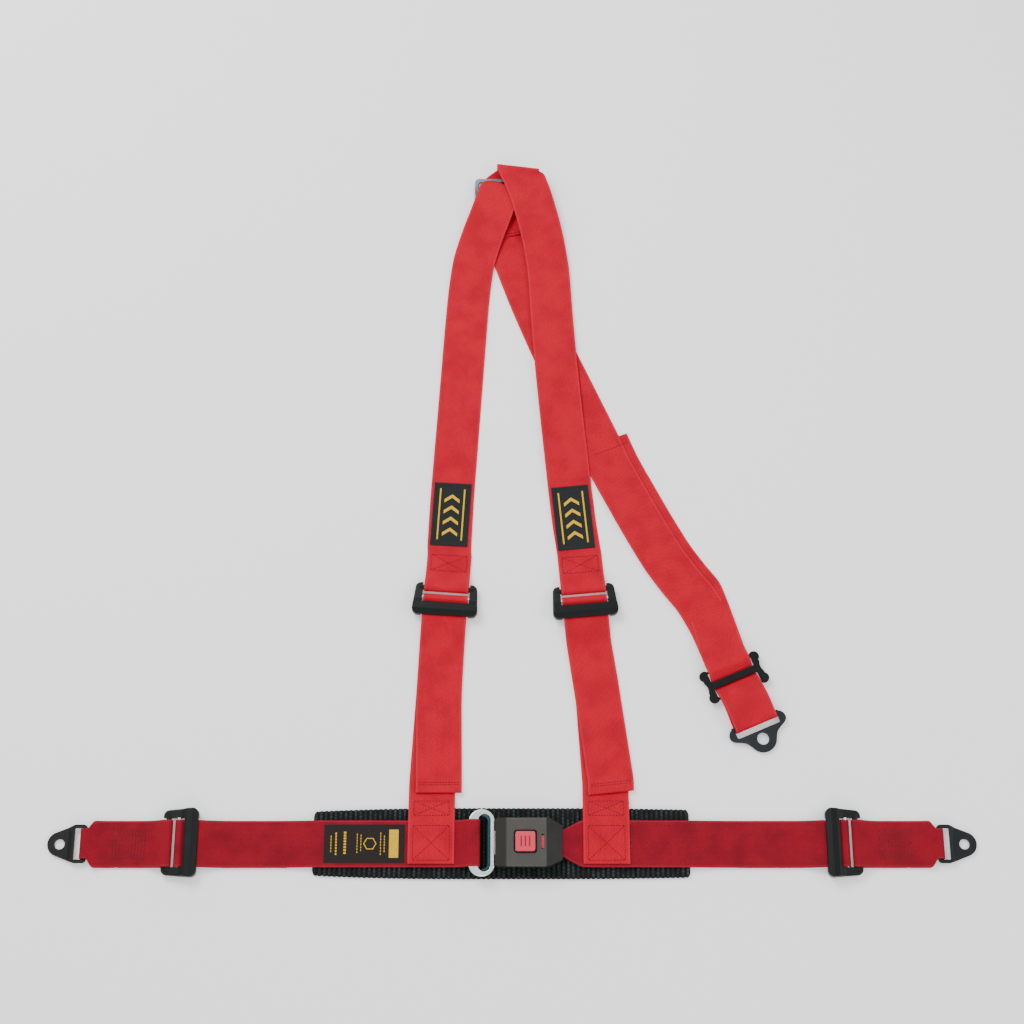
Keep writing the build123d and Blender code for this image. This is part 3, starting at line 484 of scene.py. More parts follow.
# right strap: out of the ring behind its top bar, folded over, and down the chest
FOLD_TOP_Z = 11.7
FOLD_LOW_Z = 1.5
fold_z = (FOLD_TOP_Z + FOLD_LOW_Z) / 2
fold_r = (FOLD_TOP_Z - FOLD_LOW_Z) / 2
fold_at = (7.0, 424.7)
OVER_REAR_Z = SECOND_Z + WEB_T + WEB_GAP
hidden = [
    (RING_X, RING_Y - 9.0, 5.2, 46.0, 0),
    (RING_X, RING_Y - 2.0, 4.6, 46.0, 0),
    (RING_X + 2.0, RING_Y + 8.0, FOLD_LOW_Z, 46.0, 0),
    (RING_X + 6.0, RING_Y + 19.0, FOLD_LOW_Z, 48.0, -4),
]
fold_over = [
    (fold_at[0] + 0.1 * (u + 2), fold_at[1] + u, z, 52.0, -7.4)
    for u, z in bend(0, fold_z, fold_r, -90, 90, 8)
]
right_route = [
    (16.5, 408.0, FOLD_TOP_Z),
    (23.7, 386.0, FOLD_TOP_Z),
    (33.0, 350.0, 10.8),
    (38.5, 326.0, 4.6),
    (44.0, 288.0, OVER_REAR_Z),
    (47.0, 232.0, OVER_REAR_Z),
    (53.0, 150.0, OVER_REAR_Z),
    (60.0, 75.0, OVER_REAR_Z),
    (65.0, 23.5, OVER_REAR_Z),
    (65.9, 15.0, FLOOR_Z),
    (70.6, -30.0, FLOOR_Z),
]
x, y, heading = ADJUSTERS["right_shoulder"]
right_loop = list(reversed(upright((x, y), heading, shoulder_loop)))
RIGHT_UPPER = (
    hidden + fold_over + lay(right_route) + [(75.7, -64.5, FLOOR_Z, WEB_W, 5)] + right_loop
)

# %% Rear route
RING_BAR_Y = RING_Y - RING_H / 2 + RING_BAR / 2
RING_WRAP = RING_Z - FLOOR_Z
SLIDE_TOP = SLIDE_Z0 + SLIDE_T
LAYER = 1.75  # between the two layers that run through the slide together
over_z = SLIDE_TOP + 0.35 + WEB_T / 2  # lower layer, over an outer bar
under_z = SLIDE_Z0 - 0.3 - WEB_T / 2 - LAYER  # lower layer, below the middle bar
slide_low = [(-24, over_z - 0.8), (-20, over_z), (-13.3, over_z), (-4.8, under_z)]
slide_low = slide_low + [(4.8, under_z), (13.3, over_z), (20, over_z + 0.4)]
slide_high = [(u, z + LAYER) for u, z in slide_low]

rear_plan = [
    (-5.5, 330.0),
    (-1.0, 315.0),
    (22.0, 250.0),
    (50.0, 180.0),
    (79.0, 116.0),
    (101.0, 66.0),
    (113.5, 35.0),
    (147.5, -32.0),
    (171.5, -75.0),
    (190.0, -101.5),
    (206.5, -122.0),
    (222.0, -151.0),
]
ring_sewn = [
    (-7.5, 336.0, SEWN_Z, WEB_W, 12),
    (-11.5, 362.0, SEWN_Z, WEB_W, 6),
    (-13.5, 371.0, 5.4, WEB_W, 3),
]
ring_loop = [
    (RING_X, RING_BAR_Y + u, z, 47.0, 0)
    for u, z in bend(0, RING_Z, RING_WRAP, 115, -90, 7)
]
main_route = [(x, y, FLOOR_Z if y > 90 else SECOND_Z) for x, y in rear_plan]
tail_route = [(x + 9.0, y + 4.5, FLOOR_Z) for x, y in reversed(rear_plan) if 80 > y > -140]

plate_bend = bend(REAR_BAR_U, PLATE_BAR_Z, PLATE_WRAP, 90, -90)
hump_high = [(30, 13.0), (40, 12.0), (48, 9.7)]
hump_low = [(47, 1.2), (40, 3.8), (30, 8.0)]
rear_profile = slide_high + hump_high + plate_bend + hump_low + list(reversed(slide_low))
REAR = (
    ring_sewn
    + ring_loop
    + [(-13.0, 366.0, FLOOR_Z, WEB_W, 4), (-9.5, 348.0, FLOOR_Z, WEB_W, 9)]
    + lay(main_route)
    + upright(SLIDE_AT, SLIDE_HEADING, rear_profile, WEB_W - 0.6)
    + flip(lay(tail_route))
)
print("shoulder and rear stations", len(LEFT_UPPER), len(RIGHT_UPPER), len(REAR))

# %% [markdown]
# ## A ribbon from a route
# Webbing bends easily along its length and hardly at all across it. So a ribbon is a row of
# straight cross-lines carried along a smooth path. The path is the route with its corners
# rounded: a little near a bar, where the bend is tight, and a lot on a long free run. A slow
# swell in height, the same for every layer at one spot, keeps the straps from looking ironed.

# %% Smooth a route
STEP = 1.6  # distance between cross-lines, mm
TIGHT, LOOSE = 0.9, 11.0  # least and most rounding, mm


def resample(stations):
    """Stations every STEP millimetres along the straight runs, with the arc length of each."""
    rows, lengths = [], []
    travelled = 0.0
    for a, b in zip(stations, stations[1:]):
        run = math.dist(a[:3], b[:3])
        count = max(1, round(run / STEP))
        for i in range(count):
            t = i / count
            rows.append([p + (q - p) * t for p, q in zip(a, b)])
            lengths.append(travelled + run * t)
        travelled += run
    rows.append(list(stations[-1]))
    lengths.append(travelled)
    return rows, lengths


def smooth_route(stations):
    """The route with rounded corners: wide averages on long runs, narrow ones near bars."""
    stations = [list(s) for s in stations]
    for before, here in zip(stations, stations[1:]):
        here[4] -= 360.0 * round((here[4] - before[4]) / 360.0)
    rows, lengths = resample(stations)
    marks, travelled = [], 0.0
    for a, b in zip(stations, stations[1:]):
        run = math.dist(a[:3], b[:3])
        marks.append((travelled, travelled + run, run))
        travelled += run
    smooth = []
    for s in lengths:
        reach = min(run + max(low - s, s - high, 0.0) for low, high, run in marks)
        end = min(s, travelled - s)
        sigma = max(min(0.26 * reach, LOOSE, 0.45 * end), 0.02)
        if sigma > 0.3:
            sigma = max(sigma, min(TIGHT, 0.45 * end))
        total, mean = 0.0, [0.0] * 5
        for t, row in zip(lengths, rows):
            if abs(t - s) < 3 * sigma + 0.01:
                weight = math.exp(-0.5 * ((t - s) / sigma) ** 2)
                total += weight
                mean = [m + weight * v for m, v in zip(mean, row)]
        smooth.append([m / total for m in mean])
    return smooth


def swell(x, y):
    """A slow rise of the webbing off the floor, in millimetres, never below zero."""
    wave = math.sin(x / 31.0 + 1.3) * math.sin(y / 47.0) + 0.6 * math.sin(y / 23.0 + x / 60.0)
    rise = max(0.0, wave + 0.35) * 0.75
    calm = 1.0
    for cx, cy, inner, outer in CALM_SPOTS:
        away = math.hypot(x - cx, y - cy)
        calm *= min(max((away - inner) / (outer - inner), 0.0), 1.0)
    return rise * calm


# x, y, radius with no swell, radius where it is full
CALM_SPOTS = [(a[0], a[1], 62.0, 110.0) for a in ADJUSTERS.values()]
CALM_SPOTS += [(*SLIDE_AT, 90.0, 140.0), (RING_X, RING_Y, 75.0, 120.0)]
CALM_SPOTS += [(x, LAP_Y, 125.0, 150.0) for x in (-150.0, 0.0, 150.0)]
CALM_SPOTS += [(x, LAP_Y, 70.0, 100.0) for x in (-PLATE_BAR_X, PLATE_BAR_X)]
print("calm spots", len(CALM_SPOTS))

# %% Build a ribbon
# places of the long edges across the strap, and the share of its thickness at each
half_across = [0.24, 0.48, 0.72, 0.9, 0.965, 0.992, 1]
half_thin = [0.97, 0.97, 0.97, 1.0, 0.95, 0.72, 0.35]
ACROSS = [-a for a in reversed(half_across)] + [0] + half_across
EDGE_THIN = half_thin[::-1] + [0.97] + half_thin
PIECES = {}


def mesh_piece(name, points, faces, finish, smooth=True):
    """A new object from points in metres."""
    mesh = bpy.data.meshes.new(name)
    mesh.from_pydata(points, [], faces)
    mesh.validate()
    mesh.materials.append(finish)
    if smooth:
        mesh.shade_smooth()
    made = bpy.data.objects.new(name, mesh)
    bpy.context.collection.objects.link(made)
    return made


def tube_faces(first, rings, sides):
    """The wall of a tube whose rings of points follow one another from index first."""
    faces = []
    for p in range(first, first + (rings - 1) * sides, sides):
        for k in range(sides):
            m = (k + 1) % sides
            faces.append((p + k, p + m, p + sides + m, p + sides + k))
    return faces


def frames_of(rows):
    """Place, cross direction and upward direction at every row, in millimetres."""
    spots = [Vector((r[0], r[1], r[2] + swell(r[0], r[1]))) for r in rows]
    found = []
    for i, (spot, row) in enumerate(zip(spots, rows)):
        along = (spots[min(i + 1, len(spots) - 1)] - spots[max(i - 1, 0)]).normalized()
        angle = math.radians(row[4])
        cross = Vector((math.cos(angle), math.sin(angle), 0.0))
        up = cross.cross(along - cross * along.dot(cross)).normalized()
        found.append((spot, cross, up, row[3]))
    return found


def ribbon(name, node, body, stations, finish):
    """The strap that stands for one woven CAD node."""
    rows = smooth_route(stations)
    found = frames_of(rows)
    points, faces, flat = [], [], []
    travelled = 0.0
    count = len(ACROSS)
    for i, (spot, cross, up, width) in enumerate(found):
        if i:
            travelled += (spot - found[i - 1][0]).length
        for side in (1, -1):
            for a, thin in zip(ACROSS, EDGE_THIN):
                place = spot + cross * (a * width / 2) + up * (side * thin * WEB_T / 2)
                points.append(place * MM)
                flat.append((a * WEB_W / 2 * MM, travelled * MM))
    ring = 2 * count
    for i in range(len(found) - 1):
        a, b = i * ring, (i + 1) * ring
        for j in range(count - 1):
            faces.append((a + j, a + j + 1, b + j + 1, b + j))
            faces.append((a + count + j + 1, a + count + j, b + count + j, b + count + j + 1))
        faces.append((a + count, a, b, b + count))
        faces.append((a + count - 1, a + ring - 1, b + ring - 1, b + count - 1))
    last = (len(found) - 1) * ring
    for base, turn in ((0, 1), (last, -1)):
        for j in range(count - 1):
            corner = (base + j, base + count + j, base + count + j + 1, base + j + 1)
            faces.append(corner[::turn])
    made = mesh_piece(name, points, faces, finish)
    layer = made.data.uv_layers.new(name="flat")
    for loop in made.data.loops:
        layer.data[loop.index].uv = flat[loop.vertex_index]
    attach(made, body)
    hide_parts(node)
    PIECES[name] = made
    print(name, "length", round(travelled), "mm,", len(points), "points")
    return made


# %% Make the straps
STRAPS = [
    ("left_anchor_webbing", "left_anchor_strap", "left_anchor_loop", LEFT_ANCHOR, "lap"),
    ("right_anchor_webbing", "right_anchor_strap", "right_anchor_loop", RIGHT_ANCHOR, "lap"),
    ("left_lap_webbing", "left_lap_strap", "tongue_side", LEFT_LAP, "lap"),
    ("right_lap_webbing", "right_lap_strap", "buckle_side", RIGHT_LAP, "lap"),
    ("left_lower_webbing", "left_lower_shoulder_strap", "tongue_side", LEFT_LOWER, "shoulder"),
    ("right_lower_webbing", "right_lower_shoulder_strap", "buckle_side", RIGHT_LOWER, "shoulder"),
    ("left_upper_webbing", "left_upper_shoulder_strap", "tongue_side", LEFT_UPPER, "shoulder"),
    ("right_upper_webbing", "right_upper_shoulder_strap", "buckle_side", RIGHT_UPPER, "shoulder"),
    ("rear_webbing", "rear_strap", "rear_side", REAR, "shoulder"),
]
for piece, node, body, stations, kind in STRAPS:
    finish = LAP_RED if kind == "lap" else SHOULDER_RED
    ribbon(piece, node, body, stations, finish)

# %% [markdown]
# ## Finishes for the hardware
# The mouldings and the steel keep the shapes of the designed model. Satin black mouldings have
# a fine grain and paler, rubbed patches. Plated steel is bright with faint scratches, and
# coated steel lets a little bare metal show where the webbing and the bolt rub it.


# %% Moulded plastic
def moulded_finish(name, face, rubbed, roughness, grain=0.00006, tints=()):
    """A grainy moulding. tints are (axis, from, to, colour): where that tone takes over."""
    made = Finish(name, roughness=roughness)
    made.shader.inputs["Specular IOR Level"].default_value = 0.22
    grit = made.noise(1500.0, 2.0)
    wide = made.noise(55.0, 4.0)
    rub = made.step(wide, 0.52, 0.72)
    body = made.blend(made.times(rub, 0.35), tone(face), tone(rubbed))
    body = made.blend(made.times(grit, 0.25), body, tone(rubbed))
    where = made.node("ShaderNodeTexCoord").outputs["Object"]
    split = made.node("ShaderNodeSeparateXYZ", [(0, where)])
    for axis, start, end, colour in tints:
        reached = made.step(split.outputs["XYZ".index(axis)], start, end)
        body = made.blend(reached, body, tone(colour))
    made.colour(body)
    made.rough(made.plus(made.times(wide, 0.22), roughness - 0.1))
    made.bump(grit, grain, 0.7)
    return made.material


ADJUSTER_BLACK = moulded_finish("adjuster_moulding", "020807", "0a1614", 0.42)
SHELL_TAUPE = moulded_finish("buckle_shell_moulding", "1c1b18", "2c2a26", 0.46)
# painted shade: the cover's sloped left end and its curved right end are darkened
NOSE_SHADE_TINTS = [("X", -0.0045, -0.0075, "201e1a"), ("X", 0.0355, 0.0375, "161815")]
TOP_GREY = moulded_finish("buckle_top_moulding", "403f3b", "55534e", 0.42, tints=NOSE_SHADE_TINTS)
LINER_TEAL = moulded_finish("liner_moulding", "12383a", "2c5b5c", 0.4)
RIB_TINTS = [("Z", 0.02305, 0.0232, "8c1626")]
BUTTON_RED = moulded_finish("button_moulding", "d03a4c", "de5a68", 0.36, tints=RIB_TINTS)


# %% Steel
def steel_finish(name, face, dull, roughness, scratch=900.0, metallic=1.0):
    made = Finish(name, roughness=roughness, metallic=metallic)
    where = made.node("ShaderNodeTexCoord").outputs["Object"]
    stretched = made.node("ShaderNodeMapping", [("Vector", where), ("Scale", (1.0, 0.06, 1.0))])
    lines = made.noise(scratch, 4.0, stretched.outputs["Vector"])
    cloud = made.noise(70.0, 5.0)
    made.colour(made.blend(made.step(cloud, 0.35, 0.75), tone(face), tone(dull)))
    made.rough(made.plus(made.times(lines, 0.2), roughness - 0.08))
    made.bump(lines, 0.00002, 0.5)
    return made.material


BRIGHT_STEEL = steel_finish("bright_steel", "f7f9fa", "dfe3e6", 0.24)
RING_STEEL = steel_finish("ring_steel", "7b8a92", "47525a", 0.36)
INNER_STEEL = steel_finish("inner_steel", "a3a6a8", "7d8083", 0.4)


# %% Coated steel with bare spots
def coated_finish(name, coat, bare, roughness, bareness):
    made = Finish(name, roughness=roughness)
    made.shader.inputs["Specular IOR Level"].default_value = 0.28
    cloud = made.noise(60.0, 6.0)
    pits = made.noise(900.0, 3.0)
    spots = made.step(made.plus(cloud, made.times(pits, 0.35)), 0.80, 0.90)
    spots = made.times(spots, bareness)
    worn = made.blend(made.step(cloud, 0.4, 0.7), tone(coat), dimmed(coat, 1.5))
    made.colour(made.blend(spots, worn, tone(bare)))
    made.feed(made.shader.inputs["Metallic"], made.times(spots, 0.9))
    made.rough(made.plus(made.times(pits, 0.3), roughness - 0.1))
    made.bump(pits, 0.00005, 0.6)
    return made.material


BLACK_PLATE = coated_finish("black_plate", "010202", "33383c", 0.5, 0.3)
GREY_PLATE = coated_finish("grey_plate", "050c0e", "38444a", 0.5, 0.3)
SLATE_PLATE = coated_finish("slate_plate", "161c1f", "5a6064", 0.45, 0.4)

# %% Put the finishes on the hardware
HARDWARE = {
    "rear_adjuster": ADJUSTER_BLACK,
    "tongue_plate": BRIGHT_STEEL,
    "tongue_liner": LINER_TEAL,
    "top_ring": RING_STEEL,
    "left_anchor_plate": BLACK_PLATE,
    "right_anchor_plate": GREY_PLATE,
    "rear_anchor_plate": SLATE_PLATE,
    "buckle_bottom_cover": SHELL_TAUPE,
    "buckle_top_cover": TOP_GREY,
    "release_button": BUTTON_RED,
}
for strap in ADJUSTERS:
    HARDWARE[f"{strap}_adjuster_frame"] = ADJUSTER_BLACK
    HARDWARE[f"{strap}_lock_bar"] = BRIGHT_STEEL
for node in ("buckle_frame", "latch", "latch_pin", "ejector"):
    HARDWARE[node] = INNER_STEEL
for node, finish in HARDWARE.items():
    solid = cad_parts[node]
    for place in solid.material_slots:
        place.material = finish
print("finished", len(HARDWARE), "nodes")

# %% [markdown]
# The springs inside the buckle are coils of round wire. The one below the latch shortens when
# the button is pressed, so it is drawn as a coil of its own, with a mesh of its own.


# %% Coils
def coil(name, node, base, axis, length, radius, wire, turns, others=()):
    """Tubes of wire along a helix, from each base along an axis; all in millimetres."""
    points, faces = [], []
    axis = Vector(axis)
    side = Vector((0, 1, 0))
    third = axis.cross(side)
    steps, sides = 18 * turns, 8
    for start in (base, *others):
        first = len(points)
        for i in range(steps + 1):
            a = 2 * math.pi * turns * i / steps
            out = side * math.cos(a) + third * math.sin(a)
            middle = Vector(start) + axis * (length * i / steps) + out * radius
            for k in range(sides):
                t = 2 * math.pi * k / sides
                round_wire = out * (wire * math.cos(t)) + axis * (wire * math.sin(t))
                points.append((middle + round_wire) * MM)
        faces += tube_faces(first, steps + 1, sides)
        faces.append(tuple(range(first, first + sides)))
        faces.append(tuple(range(len(points) - 1, len(points) - sides - 1, -1)))
    made = mesh_piece(name, points, faces, INNER_STEEL)
    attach(made, "buckle_side")
    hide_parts(node)
    return made


latch_coil = coil("latch_coil", "latch_spring", (19.0, LAP_Y, 10.35), (0, 0, 1), 3.3, 2.2, 0.28, 3)
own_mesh(latch_coil)
coil(
    "ejector_coils",
    "ejector_springs",
    (24.4, LAP_Y - 10.0, 12.3),
    (1, 0, 0),
    8.4,
    1.6,
    0.24,
    6,
    others=[(24.4, LAP_Y + 10.0, 12.3)],
)
print("coils made")

# %% [markdown]
# ## The lap pad
# The pad is one thick, coarse black webbing. Its cords run across its width, about five
# millimetres apart, and a finer yarn goes over and under them, so each cord looks like a row of
# small knots. That relief is deep enough to see from the side, so it is modelled as height.

# %% Black cord finish
CREST_HIGHLIGHT_HEIGHTS = (0.0030, 0.0040)  # where the painted highlight on the cords' tops begins, and where it is full


def cord_finish():
    made = Finish("pad_webbing", roughness=0.7, Sheen_Weight=0.05, Sheen_Roughness=0.35)
    made.shader.inputs["Sheen Tint"].default_value = tone("8fa3a0")
    made.shader.inputs["Specular IOR Level"].default_value = 0.2
    fuzz = made.noise(1800.0, 3.0)
    cloud = made.noise(90.0, 3.0)
    where = made.node("ShaderNodeTexCoord").outputs["Object"]
    height = made.node("ShaderNodeSeparateXYZ", [(0, where)]).outputs[2]
    # painted highlight: the cords' tops, where the pad is highest, are lightened in patches
    crest_highlight = made.times(made.step(height, *CREST_HIGHLIGHT_HEIGHTS), made.step(cloud, 0.3, 0.7))
    body = made.blend(made.step(cloud, 0.35, 0.7), tone("010202"), tone("030404"))
    body = made.blend(crest_highlight, body, tone("2b3839"))
    dusty = made.times(made.step(fuzz, 0.5, 0.8), 0.5)
    made.colour(made.blend(dusty, body, tone("3a4442")))
    made.rough(made.plus(made.times(fuzz, 0.3), 0.52))
    made.bump(fuzz, 0.00025, 0.9)
    return made.material


PAD_BLACK = cord_finish()

# %% Pad shape
CORD_PITCH, KNOT_PITCH = 5.3, 4.0
PAD_STEP_X, PAD_STEP_Y = 0.72, 1.0
PAD_CORNER = 5.0


def pad_half_width(x):
    """Half of the pad's width at x, in millimetres; its ends are drawn in."""
    end = PAD_L / 2 - abs(x)
    half = PAD_W / 2 - 1.2 - 3.6 * max(0.0, 1 - end / 150.0) ** 2 * (1.0 if x < 0 else 0.45)
    if end < PAD_CORNER:
        half -= PAD_CORNER - math.sqrt(max(0.0, PAD_CORNER**2 - (PAD_CORNER - end) ** 2))
    scallop = abs(math.sin(math.pi * x / CORD_PITCH))
    return half + 0.9 * scallop


def pad_height(x, y, half):
    """Height of the pad's face, in millimetres."""
    cord = abs(math.sin(math.pi * x / CORD_PITCH)) ** 0.7
    odd = round(x / CORD_PITCH - 0.5) % 2
    knot = abs(math.sin(math.pi * (y / KNOT_PITCH + 0.5 * odd))) ** 0.8
    edge = min((half - abs(y)) / 2.2, (PAD_L / 2 - abs(x)) / 2.2, 1.0)
    rounded = math.sqrt(max(0.0, 1 - (1 - max(edge, 0.0)) ** 2))
    return 1.1 + (PAD_T - 1.1) * rounded * (0.22 + 0.78 * cord * (0.66 + 0.34 * knot))


columns = int(PAD_L / PAD_STEP_X)
lines = int(PAD_W / PAD_STEP_Y)
points, faces = [], []
for i in range(columns + 1):
    x = -PAD_L / 2 + PAD_L * i / columns
    half = pad_half_width(x)
    for j in range(lines + 1):
        y = half * (2 * j / lines - 1)
        points.append(((PAD_X + x) * MM, (PAD_Y + y) * MM, pad_height(x, y, half) * MM))
    for j in range(lines + 1):
        y = (half - 0.5) * (2 * j / lines - 1)
        points.append(((PAD_X + x) * MM, (PAD_Y + y) * MM, 0.0))
row = 2 * (lines + 1)
for i in range(columns):
    a, b = i * row, (i + 1) * row
    for j in range(lines):
        faces.append((a + j, b + j, b + j + 1, a + j + 1))
        k = j + lines + 1
        faces.append((a + k, a + k + 1, b + k + 1, b + k))
    faces.append((a, a + lines + 1, b + lines + 1, b))
    faces.append((a + lines, b + lines, b + row - 1, a + row - 1))
for base, turn in ((0, 1), (columns * row, -1)):
    for j in range(lines):
        k = j + lines + 1
        faces.append((base + j, base + j + 1, base + k + 1, base + k)[::turn])
pad = mesh_piece("lap_pad_webbing", points, faces, PAD_BLACK)
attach(pad, "buckle_side")
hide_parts("lap_pad")
PIECES["lap_pad_webbing"] = pad
print("pad cords", round(PAD_L / CORD_PITCH), "points", len(points))

# %% [markdown]
# ## Badges and tag
# Each shoulder strap carries a woven badge, and the lap strap a folded tag with its own rows of
# thread. They lie on the webbing, so their height is found by dropping a line onto it. Their
# marks are plain raised bars and arrow shapes in yellow thread.

# %% Find the top of the webbing
def tree_of(*names):
    """A search tree of several pieces, for dropping points onto them."""
    points, faces = [], []
    for name in names:
        mesh = PIECES[name].data
        base = len(points)
        points += [v.co.copy() for v in mesh.vertices]
        faces += [[base + i for i in f.vertices] for f in mesh.polygons]
    return BVHTree.FromPolygons(points, faces)


def top_of(tree, x, y, fallback):
    """Height of the cloth at a plan place in millimetres, in millimetres."""
    hit = tree.ray_cast(Vector((x * MM, y * MM, 0.2)), Vector((0, 0, -1)))[0]
    return hit.z / MM if hit else fallback


# %% Thread finishes
THREADS_ACROSS, THREADS_ALONG = 0.0007, 0.0005  # pitch of the fine weave


def thread_finish(name, face, deep, roughness=0.6):
    made = Finish(name, roughness=roughness, Sheen_Weight=0.15)
    made.shader.inputs["Specular IOR Level"].default_value = 0.25
    where = made.node("ShaderNodeTexCoord").outputs["Object"]
    split = made.node("ShaderNodeSeparateXYZ", [(0, where)])
    cross = made.calc("SINE", made.times(split.outputs[0], 2 * math.pi / THREADS_ACROSS))
    long = made.calc("SINE", made.times(split.outputs[1], 2 * math.pi / THREADS_ALONG))
    weave = made.times(cross, long)
    fuzz = made.noise(1400.0, 3.0)
    shade = made.plus(made.times(weave, 0.2), fuzz)
    made.colour(made.blend(made.step(shade, 0.3, 0.75), tone(deep), tone(face)))
    made.bump(made.plus(weave, fuzz), 0.00012, 0.8)
    return made.material


BADGE_CLOTH = thread_finish("badge_cloth", "081416", "030808")
YELLOW_THREAD = thread_finish("yellow_thread", "f0c400", "c89a00")
TAG_CLOTH = thread_finish("tag_cloth", "1a0706", "0e0404")
RED_THREAD = thread_finish("red_thread", "5a0410", "33030a")

# %% Cut a flat patch of cloth that follows what it lies on
def turned(centre, angle, u, v):
    """The plan place of a local point (u, v), turned by angle degrees about centre."""
    c, s = math.cos(math.radians(angle)), math.sin(math.radians(angle))
    return centre[0] + u * c - v * s, centre[1] + u * s + v * c


def outline_points(width, length, corner, steps=5):
    """A rounded rectangle, as a loop of (x, y)."""
    loop = []
    for cx, cy, start in ((1, 1, 0), (-1, 1, 90), (-1, -1, 180), (1, -1, 270)):
        for k in range(steps + 1):
            a = math.radians(start + 90 * k / steps)
            x = cx * (width / 2 - corner) + corner * math.cos(a)
            y = cy * (length / 2 - corner) + corner * math.sin(a)
            loop.append((x, y))
    return loop


CLOTH_STEP = 1.6  # size of the grid's squares, mm


def laid_cloth(
    name, tree, centre, angle, width, length, thick, finish, rise=0.12, corner=1.5, rim=0.0
):
    """A grid of cloth on top of the webbing; its border stands proud by rim."""
    columns, lines = max(2, round(width / CLOTH_STEP)), max(2, round(length / CLOTH_STEP))
    points, faces = [], []

    def spot(i, j, inset):
        u = (i / columns - 0.5) * (width - 2 * inset)
        v = (j / lines - 0.5) * (length - 2 * inset)
        cut_u = max(abs(u) - (width / 2 - corner), 0.0)
        cut_v = max(abs(v) - (length / 2 - corner), 0.0)
        if cut_u and cut_v:
            over = math.hypot(cut_u, cut_v) - corner
            if over > 0:
                u -= math.copysign(over * 0.7, u)
                v -= math.copysign(over * 0.7, v)
        return (*turned(centre, angle, u, v), u, v)

    ground = max(top_of(tree, *spot(columns // 2, lines // 2, 0)[:2], 1.3), 0.0)
    for layer in (1, 0):
        for i in range(columns + 1):
            for j in range(lines + 1):
                x, y, u, v = spot(i, j, 0.25 if layer else 0.0)
                border = min(width / 2 - abs(u), length / 2 - abs(v))
                z = top_of(tree, x, y, ground) + rise
                if layer:
                    z += thick + (rim if 0.3 < border < 2.2 else 0.0)
                points.append((x * MM, y * MM, z * MM))
    size = (columns + 1) * (lines + 1)
    row = lines + 1
    for i in range(columns):
        for j in range(lines):
            a = i * row + j
            faces.append((a, a + row, a + row + 1, a + 1))
            b = a + size
            faces.append((b, b + 1, b + row + 1, b + row))
    rim_loop = [i * row for i in range(columns + 1)]
    rim_loop += [columns * row + j for j in range(1, lines + 1)]
    rim_loop += [i * row + lines for i in range(columns - 1, -1, -1)]
    rim_loop += [j for j in range(lines - 1, 0, -1)]
    for a, b in zip(rim_loop, rim_loop[1:] + rim_loop[:1]):
        faces.append((a, a + size, b + size, b))
    made = mesh_piece(name, points, faces, finish, smooth=False)
    PIECES[name] = made
    return made


# %% Raised marks
def raised_marks(name, tree, centre, angle, shapes, thick, finish, rise=0.0):
    """Flat raised shapes, each a loop of (u, v) in millimetres round the centre."""
    points, faces = [], []
    for loop in shapes:
        base = len(points)
        n = len(loop)
        for top in (1, 0):
            for u, v in loop:
                x, y = turned(centre, angle, u, v)
                z = top_of(tree, x, y, 3.0) + rise + (thick if top else -0.05)
                points.append((x * MM, y * MM, z * MM))
        faces.append(tuple(range(base, base + n)))
        faces.append(tuple(range(base + 2 * n - 1, base + n - 1, -1)))
        for k in range(n):
            m = (k + 1) % n
            faces.append((base + k, base + n + k, base + n + m, base + m))
    return mesh_piece(name, points, faces, finish, smooth=False)


def bar_shape(u0, v0, u1, v1):
    """A rectangle in short pieces, so that it can follow a curved strap."""
    count = max(1, round(max(abs(u1 - u0), abs(v1 - v0)) / 3))
    shapes = []
    for i in range(count):
        a, b = i / count, (i + 1) / count
        if abs(v1 - v0) >= abs(u1 - u0):
            low, high = v0 + (v1 - v0) * a, v0 + (v1 - v0) * b
            shapes.append([(u0, low), (u1, low), (u1, high), (u0, high)])
        else:
            low, high = u0 + (u1 - u0) * a, u0 + (u1 - u0) * b
            shapes.append([(low, v0), (high, v0), (high, v1), (low, v1)])
    return shapes


def arrow(v, reach=8.6, rise=6.2, band=4.0):
    """One arm pair of an arrow shape pointing along +v."""
    left = [(-reach, v), (0, v + rise), (0, v + rise + band), (-reach, v + band)]
    right = [(0, v + rise), (reach, v), (reach, v + band), (0, v + rise + band)]
    return [left, right]


# %% Badges on the shoulder straps
SIDE_BODY = {"left": "tongue_side", "right": "buckle_side"}
BADGES = {"left": ((-69.6, -20.5), -3.4), "right": ((69.6, -24.5), 5.6)}
for side, (centre, angle) in BADGES.items():
    name, under = f"{side}_shoulder_badge", f"{side}_upper_webbing"
    node, body = f"{side}_shoulder_patch", SIDE_BODY[side]
    tree = tree_of(under)
    badge = laid_cloth(name, tree, centre, angle, 42.6, 76.6, 0.55, BADGE_CLOTH, rim=0.25)
    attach(badge, body)
    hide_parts(node)
    on_badge = tree_of(name)
    shapes = bar_shape(-14.6, -31, -12.9, 31) + bar_shape(12.9, -31, 14.6, 31)
    for k in range(4):
        shapes += arrow(-26.5 + 13.5 * k)
    marks = raised_marks(name + "_marks", on_badge, centre, angle, shapes, 0.22, YELLOW_THREAD)
    marks.parent = badge
print("badges", len(BADGES))

# %% Tag on the lap strap
TAG_AT = (-157.8, LAP_Y)
tag_tree = tree_of("left_lap_webbing")
tag = laid_cloth(
    "lap_tag", tag_tree, TAG_AT, 0, 86.6, 41.2, 0.3, TAG_CLOTH, rise=0.1, corner=0.8
)
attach(tag, "tongue_side")
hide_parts("label_tag")
on_tag = tree_of("lap_tag")
# a plain yellow block at the seam end, and upright rows of short dashes like woven lines
shapes = bar_shape(26.5, -15.0, 36.5, 15.0)
DASH, DASH_PITCH = 2.1, 3.1
